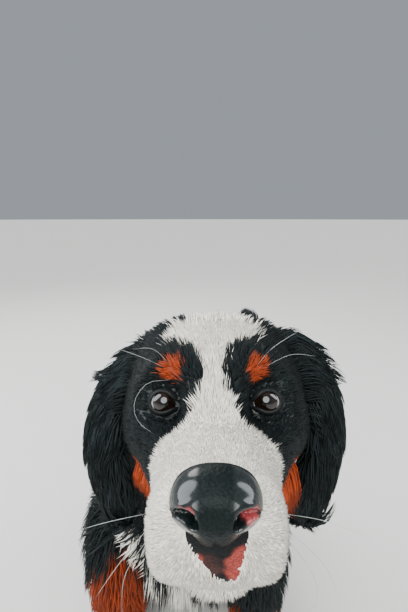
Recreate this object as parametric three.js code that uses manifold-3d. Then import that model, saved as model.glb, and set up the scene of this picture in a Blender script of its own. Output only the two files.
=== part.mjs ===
// A young Bernese mountain dog, life size, sitting on the floor with its head lifted and its nose held
// forward. Millimetres, +Z up. The dog faces -Y, so its own left side is at +X. The origin is on the floor,
// under the middle of the whole figure. Forms are drawn out to the tips of the coat. Where the coat is
// long, the form itself is only a core, and flat tapered locks lie over it and reach out to the tips.
import * as THREE from "three";
import Module from "manifold-3d";
import { mergeVertices } from "three/addons/utils/BufferGeometryUtils.js";

const wasm = await Module();
wasm.setup();

// Driving sizes
const EYE_MIDDLE = [26, -170, 465]; // midway between the eyes, above the floor
const EYE_SPREAD = 32; // from the head's middle plane to the middle of an eye
const EYE_RADIUS = 9.5;
const LID = 2.2; // thickness of the lids
const HEAD_LIFT = 12; // degrees that the muzzle points up
const HEAD_TURN = -1.3; // degrees that the muzzle turns to the dog's right
const HEAD_ROLL = -1;
const LEG_HALF = 77; // from the middle plane to the middle of a front leg
const HIND_HALF = 94; // and to the middle of a hind paw
const SHOULDER_INNER = 42; // planes where the limbs meet the trunk
const THIGH_INNER = 58;
const ELBOW = 152; // heights where the front leg is parted
const WRIST = 44;
const ANKLE = 88; // how far back the hind foot is parted
const CORE_SHARE = 0.5; // how far the core reaches through the coat
const ROOT = 8; // how deep a lock is sunk in its core
const GAP = 0.3; // left between neighbouring solids
const BLOCK = 900; // half the side of the blocks that trim a solid

const clamp = (v, low, high) => Math.min(Math.max(v, low), high);
const radians = (degrees) => (degrees * Math.PI) / 180;
const vector = (p) => new THREE.Vector3(...p);
const signedPower = (v, power) => Math.sign(v) * Math.abs(v) ** power;

// The head and all that is set on it are drawn about the middle of the eyes, muzzle level, and then moved
// here.
const HEAD = new THREE.Matrix4().compose(
  vector(EYE_MIDDLE),
  new THREE.Quaternion().setFromEuler(
    new THREE.Euler(radians(-HEAD_LIFT), radians(HEAD_ROLL), radians(HEAD_TURN), "ZYX"),
  ),
  new THREE.Vector3(1, 1, 1),
);

// Seeded random numbers from 0 to 1
function dice(seed) {
  let state = seed;
  return () => {
    state = (state + 0x6d2b79f5) | 0;
    let mixed = Math.imul(state ^ (state >>> 15), 1 | state);
    mixed = (mixed + Math.imul(mixed ^ (mixed >>> 7), 61 | mixed)) ^ mixed;
    return ((mixed ^ (mixed >>> 14)) >>> 0) / 2 ** 32;
  };
}

// A smooth line through evenly spaced values, at u from 0 to 1
function through(values, u) {
  const last = values.length - 1;
  const x = clamp(u, 0, 1) * last;
  const i = Math.min(Math.floor(x), last - 1);
  const t = x - i;
  const b = values[i];
  const c = values[i + 1];
  const a = i > 0 ? values[i - 1] : 2 * b - c;
  const d = i + 2 <= last ? values[i + 2] : 2 * c - b;
  const bend = (2 * a - 5 * b + 4 * c - d) * t * t + (3 * b - a - 3 * c + d) * t * t * t;
  return 0.5 * (2 * b + (c - a) * t + bend);
}

// A closed form drawn out along a line of stations. Each station is [x, y, z, half width, up, down], where
// up and down are the half heights on the two sides of the line. The ends are rounded over the given shares
// of its length. mirror is the x of a plane that the whole form is reflected in.
class Form {
  constructor(stations, options = {}) {
    this.columns = stations[0].map((_, k) => stations.map((row) => row[k]));
    this.side = vector(options.side ?? [1, 0, 0]);
    this.caps = options.caps ?? [0.12, 0.12];
    this.square = options.square ?? 2;
    this.cup = options.cup ?? 0;
    this.bumps = options.bumps ?? [];
    this.frame = options.frame ?? null;
    this.mirror = options.mirror ?? null;
    this.facets = options.facets ?? [16, 12];
    this.coat = options.coat ?? [0, 0];
    this.locks = options.locks ?? null;
  }

  size(column, u) {
    return through(this.columns[column], u);
  }

  coatDepth(u) {
    return through(this.coat, u);
  }

  centre(u) {
    return new THREE.Vector3(this.size(0, u), this.size(1, u), this.size(2, u));
  }

  axis(u) {
    const p = this.centre(u);
    if (this.mirror !== null) p.x = 2 * this.mirror - p.x;
    return p;
  }

  tangent(u) {
    const step = 0.004;
    const ahead = this.centre(Math.min(u + step, 1));
    return ahead.sub(this.centre(Math.max(u - step, 0))).normalize();
  }

  rounding(u) {
    const [first, last] = this.caps;
    const near = u < first ? Math.sqrt(Math.max(0, 1 - (1 - u / first) ** 2)) : 1;
    const far = 1 - u < last ? Math.sqrt(Math.max(0, 1 - (1 - (1 - u) / last) ** 2)) : 1;
    return near * far;
  }

  // A point of the surface: u runs along the line, and the angle turns from the side towards up. grow moves
  // it out.
  point(u, angle, grow = 0) {
    const along = this.tangent(u);
    const side = this.side.clone().addScaledVector(along, -this.side.dot(along)).normalize();
    const up = side.clone().cross(along);
    const round = this.rounding(u);
    const power = 2 / this.square;
    const flat = signedPower(Math.cos(angle), power);
    const high = signedPower(Math.sin(angle), power);
    const width = Math.max(this.size(3, u) + grow, 0.5) * round;
    const height = Math.max(this.size(high > 0 ? 4 : 5, u) + grow, 0.5) * round;
    const p = this.centre(u).addScaledVector(side, flat * width).addScaledVector(up, high * height);
    p.addScaledVector(up, this.cup * flat * flat * round);
    p.addScaledVector(along, Math.sign(u - 0.5) * grow * (1 - round));
    p.add(this.pushed(p));
    if (this.mirror !== null) p.x = 2 * this.mirror - p.x;
    return p;
  }

  // Each bump is {at, size, push}: the surface near at moves by push, fading over size. Those off the
  // middle plane act on both sides alike.
  pushed(p) {
    const moved = new THREE.Vector3();
    for (const { at, size, push } of this.bumps) {
      for (const way of at[0] === 0 ? [1] : [1, -1]) {
        const x = (p.x - way * at[0]) / size[0];
        const y = (p.y - at[1]) / size[1];
        const z = (p.z - at[2]) / size[2];
        const share = Math.exp(-(x * x + y * y + z * z));
        moved.add(new THREE.Vector3(way * push[0], push[1], push[2]).multiplyScalar(share));
      }
    }
    return moved;
  }

  geometry(grow = 0) {
    const shape = new THREE.SphereGeometry(1, ...this.facets);
    const place = shape.getAttribute("position");
    for (let i = 0; i < place.count; i++) {
      const unit = new THREE.Vector3().fromBufferAttribute(place, i);
      const u = (1 + clamp(unit.y, -1, 1)) / 2;
      const depth = this.coatDepth(u) * (1 - CORE_SHARE);
      const p = this.point(u, Math.atan2(unit.z, unit.x), grow - depth);
      place.setXYZ(i, p.x, p.y, p.z);
    }
    return this.frame ? shape.applyMatrix4(this.frame) : shape;
  }

  // True where a point lies inside the form, or within the margin of it
  covers(p, margin = 0) {
    const q = p.clone();
    if (this.mirror !== null) q.x = 2 * this.mirror - q.x;
    for (let u = 0.02; u < 1; u += 0.04) {
      const from = q.clone().sub(this.centre(u));
      const along = this.tangent(u);
      const reach = from.dot(along);
      const span = this.centre(Math.min(u + 0.02, 1)).distanceTo(this.centre(Math.max(u - 0.02, 0)));
      if (Math.abs(reach) > span) continue;
      const side = this.side.clone().addScaledVector(along, -this.side.dot(along)).normalize();
      const rise = from.dot(side.clone().cross(along));
      const width = this.size(3, u) * this.rounding(u) + margin;
      const height = this.size(rise > 0 ? 4 : 5, u) * this.rounding(u) + margin;
      if ((from.dot(side) / width) ** 2 + (rise / height) ** 2 < 1) return true;
    }
    return false;
  }
}

function manifold(geometry, flipped = false) {
  const triVerts = new Uint32Array(geometry.index.array);
  if (flipped) {
    for (let i = 0; i < triVerts.length; i += 3) {
      [triVerts[i + 1], triVerts[i + 2]] = [triVerts[i + 2], triVerts[i + 1]];
    }
  }
  const vertProperties = new Float32Array(geometry.getAttribute("position").array);
  return new wasm.Manifold(new wasm.Mesh({ numProp: 3, vertProperties, triVerts }));
}

function solid(geometry) {
  const bare = geometry.clone();
  bare.deleteAttribute("normal");
  bare.deleteAttribute("uv");
  const closed = mergeVertices(bare, 1e-3);
  const made = manifold(closed);
  return made.volume() > 0 ? made : manifold(closed, true);
}

const joined = (pieces) => wasm.Manifold.union(pieces);

// A ball stretched to three half sizes and set in a frame
function ball(at, sizes, frame = null, facets = [12, 8]) {
  const shape = new THREE.SphereGeometry(1, ...facets);
  shape.scale(...sizes).translate(...at);
  return solid(frame ? shape.applyMatrix4(frame) : shape);
}

// Everything beyond a plane, on the side that its normal points to. back moves the plane against the
// normal.
function beyond({ point, normal }, back = 0) {
  const along = vector(normal).normalize();
  const block = new THREE.BoxGeometry(2 * BLOCK, 2 * BLOCK, 2 * BLOCK).translate(0, 0, BLOCK);
  const turn = new THREE.Quaternion().setFromUnitVectors(new THREE.Vector3(0, 0, 1), along);
  const at = vector(point).addScaledVector(along, -back);
  return solid(block.applyQuaternion(turn).translate(at.x, at.y, at.z));
}

// The locks of a form. A lock is a cone of three sides, a ridge and two edges, drawn out flat along the
// form from a root that is sunk in the core to a tip at the coat's full depth. Its half width and half
// thickness change along it as listed.
const LOCK_WIDTHS = [0.7, 1, 0.74, 0];
const LOCK_THICKNESSES = [0.9, 1, 0.65, 0];
const LOCK_DEPTHS = [CORE_SHARE, 0.42, 0.18, 0]; // below the tips, as a share of the coat
const LOCK_STEPS = LOCK_WIDTHS.length - 1;
const RIDGE = 0.6; // share of the thickness that stands over the lock's line. The edges lie under it.
const MOST_SPREAD = 0.45; // radians that half a lock may take up round a form
const EDGE_GROWTH = 5; // a sharp edge moves out this much further than the faces that meet there

function lock(form, root, plan, random, grow) {
  const vary = () => 0.85 + 0.3 * random();
  const length = plan.length * vary();
  const half = (plan.width / 2) * vary();
  const thick = plan.thickness * vary() + grow;
  const swirl = (random() - 0.5) * (plan.swirl ?? 0.35);
  const shorter = random() * 0.12;
  const rings = [];
  let u = root.u;
  for (let k = 0; k <= LOCK_STEPS; k++) {
    const t = k / LOCK_STEPS;
    const angle = root.angle + swirl * t ** 2;
    const sunk = k === 0 ? ROOT : shorter * t * form.coatDepth(u) - t * (plan.lift ?? 0);
    const depth = form.coatDepth(u) * LOCK_DEPTHS[k] + sunk;
    const radius = form.point(u, angle).distanceTo(form.axis(u));
    const spread = Math.min((LOCK_WIDTHS[k] * half) / radius, MOST_SPREAD) + (EDGE_GROWTH * grow) / radius;
    rings.push({ u, angle, depth, spread, thick: LOCK_THICKNESSES[k] * thick });
    const ahead = Math.min(u + 0.02, 0.99);
    const pace = form.point(ahead, angle).distanceTo(form.point(u, angle)) / (ahead - u);
    u = Math.min(u + length / LOCK_STEPS / pace, 0.985);
  }
  const shape = new THREE.ConeGeometry(1, 1, 3, LOCK_STEPS);
  const place = shape.getAttribute("position");
  for (let i = 0; i < place.count; i++) {
    const ring = rings[Math.round((place.getY(i) + 0.5) * LOCK_STEPS)];
    const across = Math.abs(place.getX(i)) > 1e-6 ? Math.sign(place.getX(i)) : 0;
    const ridge = place.getZ(i) > 1e-6 ? RIDGE : 0;
    const edge = across ? 1 - RIDGE : 0;
    const p = form.point(ring.u, ring.angle + across * ring.spread, (ridge - edge) * ring.thick - ring.depth);
    place.setXYZ(i, p.x, p.y, p.z);
  }
  return shape;
}

// Roots stand in staggered rows along the form, each row spread round it. Roots that other forms hide are
// left out, and so are those beyond the plane that the rows start from.
function lockRoots(form, plan, random) {
  const [start, end, rows] = plan.rows;
  const [low, high, count] = plan.angles;
  const roots = [];
  for (let i = 0; i < rows; i++) {
    for (let j = 0; j < count; j++) {
      const u = start + ((end - start) * (i + 0.5 + 0.4 * (random() - 0.5))) / rows;
      const step = (j + 0.25 + 0.5 * (i % 2) + 0.35 * (random() - 0.5)) / count;
      const root = { u, angle: radians(low + (high - low) * step) };
      const place = form.point(u, root.angle, -form.coatDepth(u) / 2);
      const { point, normal } = plan.start ?? { point: [0, 0, 2 * BLOCK], normal: [0, 0, 1] };
      const early = place.clone().sub(vector(point)).dot(vector(normal)) > -6;
      const hidden = (plan.hiddenBy ?? []).some((other) => other.covers(place, 2));
      if (!early && !hidden) roots.push(root);
    }
  }
  return roots;
}

function coated(form, grow) {
  const random = dice(form.locks.seed);
  const pieces = [solid(form.geometry(grow))];
  for (const plan of form.locks.plans) {
    for (const root of lockRoots(form, plan, random)) {
      pieces.push(solid(lock(form, root, plan, random, grow)));
    }
  }
  return joined(pieces);
}

const shape = (form, grow) => (form.locks ? coated(form, grow) : solid(form.geometry(grow)));

// Head: skull, cheeks and upper jaw in one, from the front of the muzzle to the nape
const SKULL = new Form(
  [
    [0, -88, -33, 24, 18, 20],
    [0, -74, -34, 33, 25, 26],
    [0, -52, -34, 35, 28, 29],
    [0, -30, -33, 38, 29, 31],
    [0, -14, -29, 45, 32, 36],
    [0, 0, -22, 53, 45, 46],
    [0, 18, -15, 61, 55, 56],
    [0, 40, -10, 64, 61, 62],
    [0, 64, -6, 62, 61, 58],
    [0, 86, -4, 52, 51, 48],
    [0, 104, -2, 32, 32, 32],
  ],
  {
    caps: [0.07, 0.12],
    square: 2.25,
    frame: HEAD,
    facets: [26, 22],
    bumps: [
      { at: [24, -52, -60], size: [12, 26, 14], push: [2, 0, -6] }, // hanging upper lips
      { at: [30, 4, 19], size: [13, 14, 9], push: [1, -4, 3] }, // brow ridges
      { at: [0, 14, 44], size: [9, 40, 16], push: [0, 0, -3] }, // furrow of the forehead
      { at: [58, 22, -34], size: [16, 26, 22], push: [4, -2, 0] }, // cheeks
    ],
  },
);

const JAW = new Form(
  [
    [0, -79, -59, 13, 8, 8],
    [0, -66, -60, 20, 10, 11],
    [0, -44, -60, 24, 12, 13],
    [0, -20, -58, 30, 14, 16],
    [0, 6, -54, 35, 18, 22],
  ],
  { frame: HEAD, facets: [12, 6], caps: [0.16, 0.2] },
);

// Eyes sit in sockets under an upper and a lower lid. The lids are a shell round the ball with an almond
// opening.
const eyeFrame = (way) =>
  HEAD.clone()
    .multiply(new THREE.Matrix4().makeTranslation(way * EYE_SPREAD, 0, 0))
    .multiply(new THREE.Matrix4().makeRotationZ(radians(way * 16)))
    .multiply(new THREE.Matrix4().makeRotationX(radians(6)));
const eyeBall = (way, grow) =>
  ball([0, 0, 0], Array(3).fill(EYE_RADIUS + grow), eyeFrame(way), [12, 8]);
const lids = (way) => ball([0, 0, 0], Array(3).fill(EYE_RADIUS + LID), eyeFrame(way), [12, 8]);
const socket = (way) => ball([way * 4, -18, 0.5], [16, 15, 12.5], eyeFrame(way), [10, 6]);
const lidOpening = (way) => ball([0, -EYE_RADIUS - 2, 0.4], [7.4, 14, 5.8], eyeFrame(way), [10, 6]);

// Nose leather: a rounded pad with two comma nostrils, and the groove of the lip below it
const NOSE = new Form(
  [
    [0, -96, -25, 11, 10, 12],
    [0, -91, -24, 16, 12, 14],
    [0, -84, -22, 18.5, 13, 16],
    [0, -74, -20, 15, 11, 13],
  ],
  { frame: HEAD, facets: [14, 8], caps: [0.3, 0.3], square: 2.3 },
);
const nostril = (way) =>
  joined([
    ball([way * 8.2, -95, -25.5], [3.4, 9, 3], HEAD, [6, 4]),
    ball([way * 12.6, -90.5, -27.5], [5, 6, 1.5], HEAD, [6, 4]),
  ]);
const LIP_GROOVE = ball([0, -87, -47], [0.9, 8, 11], HEAD, [6, 4]);

// Ears hang from the sides of the skull as curved flaps, hollow towards the cheek. up is the inner side.
const EAR_STATIONS = [
  [44, 60, 26, 15, 9, 9],
  [62, 58, 22, 23, 9, 13],
  [75, 53, 4, 29, 9, 17],
  [80, 46, -24, 33, 9, 20],
  [80, 39, -55, 33, 9, 20],
  [77, 33, -87, 27, 9, 18],
  [73, 29, -115, 14, 8, 13],
].map(([x, y, z, ...sizes]) => [x + EYE_MIDDLE[0], y + EYE_MIDDLE[1], z + EYE_MIDDLE[2], ...sizes]);
const ear = (way) =>
  new Form(EAR_STATIONS, {
    side: [0.4, 0.92, 0],
    cup: 6,
    caps: [0.12, 0.16],
    facets: [10, 8],
    mirror: way < 0 ? EYE_MIDDLE[0] : null,
    coat: [12, 12],
    locks: {
      seed: 11 + way,
      plans: [
        { rows: [0.06, 0.8, 3], angles: [200, 340, 2], length: 66, width: 44, thickness: 10 },
        { rows: [0.2, 0.8, 3], angles: [-22, 10, 1], length: 46, width: 24, thickness: 8, lift: 4 },
        { rows: [0.3, 0.8, 2], angles: [170, 202, 1], length: 46, width: 24, thickness: 8, lift: 4 },
      ],
    },
  });
const EARS = { left: ear(1), right: ear(-1) };

// Front legs stand upright under the shoulders, each with a feather of longer hair behind the forearm.
const FRONT_LEG_STATIONS = [
  [58, -2, 304, 34, 42, 42],
  [70, -20, 256, 41, 48, 50],
  [76, -22, 208, 39, 44, 45],
  [LEG_HALF, -18, 162, 33, 38, 36],
  [LEG_HALF, -22, 122, 30, 33, 30],
  [LEG_HALF, -29, 84, 28, 29, 28],
  [LEG_HALF, -34, 50, 27, 26, 27],
  [LEG_HALF, -36, 26, 25, 22, 24],
];
const frontLeg = (way) =>
  new Form(FRONT_LEG_STATIONS, {
    facets: [12, 10],
    mirror: way < 0 ? 0 : null,
    coat: [22, 20, 18, 12, 5, 0, 0, 0],
    locks: {
      seed: 21 + way,
      plans: [
        { rows: [0.1, 0.44, 3], angles: [-75, 55, 2], length: 84, width: 54, thickness: 12 },
        { rows: [0.42, 0.74, 3], angles: [70, 110, 1], length: 56, width: 34, thickness: 12, lift: 10 },
      ],
    },
  });
const FRONT_PAW = [
  [LEG_HALF, -88, 16, 27, 14, 18],
  [LEG_HALF, -70, 20, 33, 20, 22],
  [LEG_HALF, -48, 25, 31, 25, 28],
  [LEG_HALF, -24, 26, 25, 22, 29],
  [LEG_HALF, -12, 24, 19, 16, 26],
];

// Hind legs are folded under the body, with the rear pasterns flat on the floor.
const THIGH_STATIONS = [
  [97, 50, 98, 24, 34, 36],
  [94, 86, 106, 36, 60, 60],
  [86, 130, 116, 43, 78, 78],
  [74, 178, 114, 46, 80, 82],
  [58, 222, 98, 40, 64, 72],
];
const thigh = (way) =>
  new Form(THIGH_STATIONS, {
    facets: [14, 8],
    mirror: way < 0 ? 0 : null,
    coat: [20, 24, 24],
    locks: {
      seed: 33 + way,
      plans: [{ rows: [0.08, 0.8, 3], angles: [-60, 60, 3], length: 100, width: 58, thickness: 13 }],
    },
  });
const PASTERN = [
  [92, 70, 24, 25, 20, 27],
  [90, 118, 27, 22, 23, 30],
  [86, 164, 30, 22, 26, 33],
  [80, 206, 34, 22, 30, 37],
];
const HIND_PAW = [
  [HIND_HALF, 26, 15, 25, 13, 18],
  [HIND_HALF, 46, 19, 31, 19, 22],
  [93, 70, 22, 29, 22, 25],
  [92, 98, 23, 24, 20, 26],
];

// Four toes, each with a claw, set along the front of a paw
const TOES = [-22, -8, 8, 22];
function toes(x, y, grow) {
  return TOES.flatMap((offset) => {
    const back = Math.abs(offset) > 15 ? 9 : 0;
    const sizes = [10.5, 17, 16].map((size) => size + grow);
    const claw = new THREE.ConeGeometry(3.4 + grow, 18 + grow, 4).rotateX(radians(112));
    claw.translate(x + offset * 1.08, y + back - 15, 8);
    return [ball([x + offset, y + back, 15], sizes, null, [7, 5]), solid(claw)];
  });
}

// The trunk: a sloping torso that stands on its rump, and the neck with its ruff
const THIGHS = { left: thigh(1), right: thigh(-1) };
const FRONT_LEGS = { left: frontLeg(1), right: frontLeg(-1) };
const LIMBS = [...Object.values(THIGHS), ...Object.values(FRONT_LEGS)];

const NECK_BASE = { point: [4, -18, 322], normal: [0, -0.62, 0.78] };
const NECK = new Form(
  [
    [26, -112, 440, 56, 46, 46],
    [22, -80, 405, 68, 60, 58],
    [14, -46, 362, 80, 72, 72],
    [6, -10, 322, 92, 86, 87],
    [0, 26, 288, 92, 88, 88],
    [0, 62, 252, 86, 84, 84],
  ],
  {
    caps: [0.14, 0.16],
    facets: [14, 8],
    coat: [26, 28],
    locks: {
      seed: 41,
      plans: [
        {
          rows: [0.04, 0.84, 4],
          angles: [0, 360, 7],
          length: 104,
          width: 72,
          thickness: 14,
          hiddenBy: [...Object.values(EARS), ...Object.values(FRONT_LEGS)],
        },
      ],
    },
  },
);
const TORSO = new Form(
  [
    [0, -92, 286, 54, 46, 52],
    [0, -56, 290, 80, 74, 80],
    [0, -16, 286, 91, 88, 92],
    [0, 42, 258, 99, 100, 102],
    [0, 102, 212, 103, 100, 102],
    [0, 160, 160, 105, 94, 98],
    [0, 206, 112, 103, 86, 90],
    [0, 226, 66, 98, 70, 84],
    [0, 230, 18, 92, 58, 78],
    [0, 230, -30, 86, 50, 70],
  ],
  {
    caps: [0.1, 0.05],
    facets: [16, 12],
    coat: [28, 26, 26, 26],
    locks: {
      seed: 51,
      plans: [
        { rows: [0.008, 0.03, 1], angles: [215, 325, 3], length: 100, width: 50, thickness: 14 },
        {
          rows: [0.03, 0.82, 6],
          angles: [-50, 230, 7],
          length: 116,
          width: 80,
          thickness: 15,
          hiddenBy: LIMBS,
          start: NECK_BASE,
        },
      ],
    },
  },
);

const TAIL = new Form(
  [
    [0, 258, 62, 26, 26, 28],
    [3, 300, 46, 31, 30, 34],
    [16, 342, 34, 34, 32, 37],
    [46, 378, 30, 36, 31, 33],
    [82, 402, 27, 34, 29, 30],
    [116, 412, 24, 27, 25, 27],
    [144, 412, 20, 15, 17, 23],
  ],
  {
    caps: [0.1, 0.16],
    facets: [10, 8],
    coat: [22, 22, 20],
    locks: {
      seed: 61,
      plans: [{ rows: [0.12, 0.8, 4], angles: [-20, 200, 3], length: 92, width: 48, thickness: 13 }],
    },
  },
);
const TAIL_PART = { point: [62, 390, 28], normal: [0.82, 0.57, 0] };

const FLOOR = beyond({ point: [0, 0, 0], normal: [0, 0, -1] });
const above = (z, back = 0) => beyond({ point: [0, 0, z], normal: [0, 0, 1] }, back);
const behind = (y, back = 0) => beyond({ point: [0, y, 0], normal: [0, 1, 0] }, back);
const outside = (way, x, back = 0) => beyond({ point: [way * x, 0, 0], normal: [way, 0, 0] }, back);

// Whole forms before they are parted, larger by grow where a neighbour is cut clear of them
const WHOLE = {
  nose: (grow) => shape(NOSE, grow).subtract(joined([nostril(1), nostril(-1)])),
  eye_left: (grow) => eyeBall(1, grow),
  eye_right: (grow) => eyeBall(-1, grow),
  head: (grow) => {
    const skull = shape(SKULL, grow).subtract(joined([socket(1), socket(-1), LIP_GROOVE]));
    return joined([skull, lids(1), lids(-1)]).subtract(joined([lidOpening(1), lidOpening(-1)]));
  },
  lower_jaw: (grow) => shape(JAW, grow),
  trunk: (grow) => joined([shape(NECK, grow), shape(TORSO, grow)]),
  tail: (grow) => shape(TAIL, grow),
};
for (const [name, way] of Object.entries({ left: 1, right: -1 })) {
  const mirror = way < 0 ? 0 : null;
  WHOLE[`ear_${name}`] = (grow) => shape(EARS[name], grow);
  WHOLE[`front_leg_${name}`] = (grow) => {
    const paw = new Form(FRONT_PAW, { facets: [11, 6], mirror });
    const leg = joined([shape(FRONT_LEGS[name], grow), shape(paw, grow), ...toes(way * LEG_HALF, -84, grow)]);
    return leg.intersect(outside(way, SHOULDER_INNER, grow));
  };
  WHOLE[`thigh_${name}`] = (grow) => shape(THIGHS[name], grow).intersect(outside(way, THIGH_INNER, grow));
  WHOLE[`hind_foot_${name}`] = (grow) => {
    const pastern = new Form(PASTERN, { facets: [10, 6], mirror });
    const paw = new Form(HIND_PAW, { facets: [11, 6], mirror });
    return joined([shape(pastern, grow), shape(paw, grow), ...toes(way * HIND_HALF, 32, grow)]);
  };
}

// What each whole form is cut clear of
const CLEAR_OF = {
  head: ["nose", "eye_left", "eye_right"],
  lower_jaw: ["head"],
  ear_left: ["head"],
  ear_right: ["head"],
  thigh_left: ["front_leg_left", "hind_foot_left"],
  thigh_right: ["front_leg_right", "hind_foot_right"],
  tail: ["hind_foot_left", "hind_foot_right"],
  trunk: Object.keys(WHOLE).filter((name) => !["nose", "eye_left", "eye_right", "trunk"].includes(name)),
};

const grown = new Map();
const grownOf = (name) => {
  if (!grown.has(name)) grown.set(name, WHOLE[name](GAP));
  return grown.get(name);
};
const cut = (name) => {
  const cutters = [FLOOR, ...(CLEAR_OF[name] ?? []).map(grownOf)];
  return WHOLE[name](0).subtract(joined(cutters));
};

// The nodes, parted from the whole forms with thin plane cuts
const NODES = {};
for (const name of ["nose", "eye_left", "eye_right", "head", "lower_jaw", "ear_left", "ear_right"]) {
  NODES[name] = cut(name);
}
const trunk = cut("trunk");
NODES.neck = trunk.intersect(beyond(NECK_BASE));
NODES.torso = trunk.subtract(beyond(NECK_BASE, GAP));
for (const side of ["left", "right"]) {
  const leg = cut(`front_leg_${side}`);
  NODES[`upper_arm_${side}`] = leg.intersect(above(ELBOW));
  NODES[`forearm_${side}`] = leg.subtract(above(ELBOW, GAP)).intersect(above(WRIST));
  NODES[`front_paw_${side}`] = leg.subtract(above(WRIST, GAP));
  NODES[`thigh_${side}`] = cut(`thigh_${side}`);
  const foot = cut(`hind_foot_${side}`);
  NODES[`rear_pastern_${side}`] = foot.intersect(behind(ANKLE));
  NODES[`hind_paw_${side}`] = foot.subtract(behind(ANKLE, GAP));
}
const tail = cut("tail");
NODES.tail_root = tail.subtract(beyond(TAIL_PART, GAP));
NODES.tail_tip = tail.intersect(beyond(TAIL_PART));

const COAT_BLACK = { color: 0x17181b, roughness: 0.75, metalness: 0 };
const COAT_WHITE = { color: 0xe9e4da, roughness: 0.85, metalness: 0 };
const COAT_RUST = { color: 0xb0502a, roughness: 0.8, metalness: 0 };
const FINISHES = {
  nose: { color: 0x1d2224, roughness: 0.35, metalness: 0 },
  eye: { color: 0x2a1a10, roughness: 0.05, metalness: 0 },
  lower_jaw: COAT_WHITE,
  forearm: COAT_RUST,
  rear_pastern: COAT_RUST,
  front_paw: COAT_WHITE,
  hind_paw: COAT_WHITE,
  tail_tip: COAT_WHITE,
};

function mesh(name, made) {
  const largest = made.decompose().sort((a, b) => b.volume() - a.volume())[0];
  const { numProp, vertProperties, triVerts } = largest.getMesh();
  const places = new Float32Array((vertProperties.length / numProp) * 3);
  for (let i = 0; i < places.length / 3; i++) {
    places.set(vertProperties.subarray(i * numProp, i * numProp + 3), i * 3);
  }
  const geometry = new THREE.BufferGeometry();
  geometry.setAttribute("position", new THREE.BufferAttribute(places, 3));
  geometry.setIndex(new THREE.BufferAttribute(new Uint32Array(triVerts), 1));
  geometry.computeVertexNormals();
  geometry.computeBoundingBox();
  const finish = Object.keys(FINISHES).find((start) => name.startsWith(start));
  const piece = new THREE.Mesh(geometry, new THREE.MeshStandardMaterial(FINISHES[finish] ?? COAT_BLACK));
  piece.name = name;
  return piece;
}

const dog = new THREE.Group();
const box = new THREE.Box3();
for (const [name, made] of Object.entries(NODES)) {
  const piece = mesh(name, made);
  box.union(piece.geometry.boundingBox);
  dog.add(piece);
}
dog.position.set(-(box.min.x + box.max.x) / 2, -(box.min.y + box.max.y) / 2, -box.min.z);

export default dog;
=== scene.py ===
import math

import bmesh
import bpy
import numpy as np
from mathutils import Euler, Matrix, Vector
from mathutils.kdtree import KDTree


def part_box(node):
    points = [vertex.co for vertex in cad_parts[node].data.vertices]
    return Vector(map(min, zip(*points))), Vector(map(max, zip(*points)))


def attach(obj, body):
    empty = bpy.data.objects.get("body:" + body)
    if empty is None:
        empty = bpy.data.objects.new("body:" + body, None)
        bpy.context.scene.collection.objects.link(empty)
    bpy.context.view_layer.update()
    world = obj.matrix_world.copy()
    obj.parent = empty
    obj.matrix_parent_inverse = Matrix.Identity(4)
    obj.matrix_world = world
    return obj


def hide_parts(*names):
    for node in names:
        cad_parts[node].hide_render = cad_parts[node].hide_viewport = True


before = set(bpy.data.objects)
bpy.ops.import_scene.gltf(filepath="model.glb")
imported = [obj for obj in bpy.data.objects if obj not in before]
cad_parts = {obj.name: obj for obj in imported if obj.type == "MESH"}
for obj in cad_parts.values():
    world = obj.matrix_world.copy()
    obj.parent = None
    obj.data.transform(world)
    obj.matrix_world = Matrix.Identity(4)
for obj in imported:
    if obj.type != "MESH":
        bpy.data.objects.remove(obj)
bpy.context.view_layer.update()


# Skin: one closed hide over the whole body, from the muzzle to the tip of the tail, with the thin flaps of
# the ears on it. It is drawn as rounded forms along the lines of the body, each less deep than the coat that
# covers it, and the forms are then fused. Sizes are millimetres in the dog's own frame, which faces -Y.
EYE_MIDDLE = np.array([26.0, -170.0, 465.0])
EYE_SPREAD = 31
EYE_RADIUS = 9.5
HEAD_LIFT = 12
HEAD_TURN = -1.3
HEAD_ROLL = -1
MILLIMETRE = 0.001
THINNEST = 2.0

eye_corners = [np.array(corner) for side in ("left", "right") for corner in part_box(f"eye_{side}")]
SHIFT = np.mean(eye_corners, axis=0) / MILLIMETRE - EYE_MIDDLE


def packed(points):
    """From the dog's own frame, in millimetres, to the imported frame, in metres."""
    return (np.asarray(points, float) + SHIFT) * MILLIMETRE


def own(points):
    """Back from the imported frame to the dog's own."""
    return np.asarray(points, float) / MILLIMETRE - SHIFT


def turned_frame(at, lift=0.0, roll=0.0, turn=0.0):
    """A frame that stands at a place and is turned by degrees."""
    turns = Euler([math.radians(a) for a in (lift, roll, turn)], "XYZ").to_matrix()
    return np.array(Matrix.Translation(Vector(at)) @ turns.to_4x4())


HEAD = turned_frame(EYE_MIDDLE, -HEAD_LIFT, HEAD_ROLL, HEAD_TURN)


def into(frame_of, points):
    """Points of the dog's own frame, as seen from another frame."""
    return (np.asarray(points, float) - frame_of[:3, 3]) @ frame_of[:3, :3]


def out_of(frame_of, points):
    """And back again."""
    return np.asarray(points, float) @ frame_of[:3, :3].T + frame_of[:3, 3]


def unit(vectors):
    return vectors / np.maximum(np.linalg.norm(vectors, axis=-1, keepdims=True), 1e-9)


def drawn(values, share):
    """A smooth line through evenly spaced rows of values, at shares from 0 to 1 of its length."""
    values = np.asarray(values, float)
    last = len(values) - 1
    x = np.clip(share, 0, 1) * last
    i = np.minimum(x.astype(int), last - 1)
    t = (x - i)[:, None]
    longer = np.vstack([2 * values[0] - values[1], values, 2 * values[-1] - values[-2]])
    a, b, c, d = (longer[i + k] for k in range(4))
    return 0.5 * (2 * b + (c - a) * t + (2 * a - 5 * b + 4 * c - d) * t**2 + (3 * b - a - 3 * c + d) * t**3)


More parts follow.
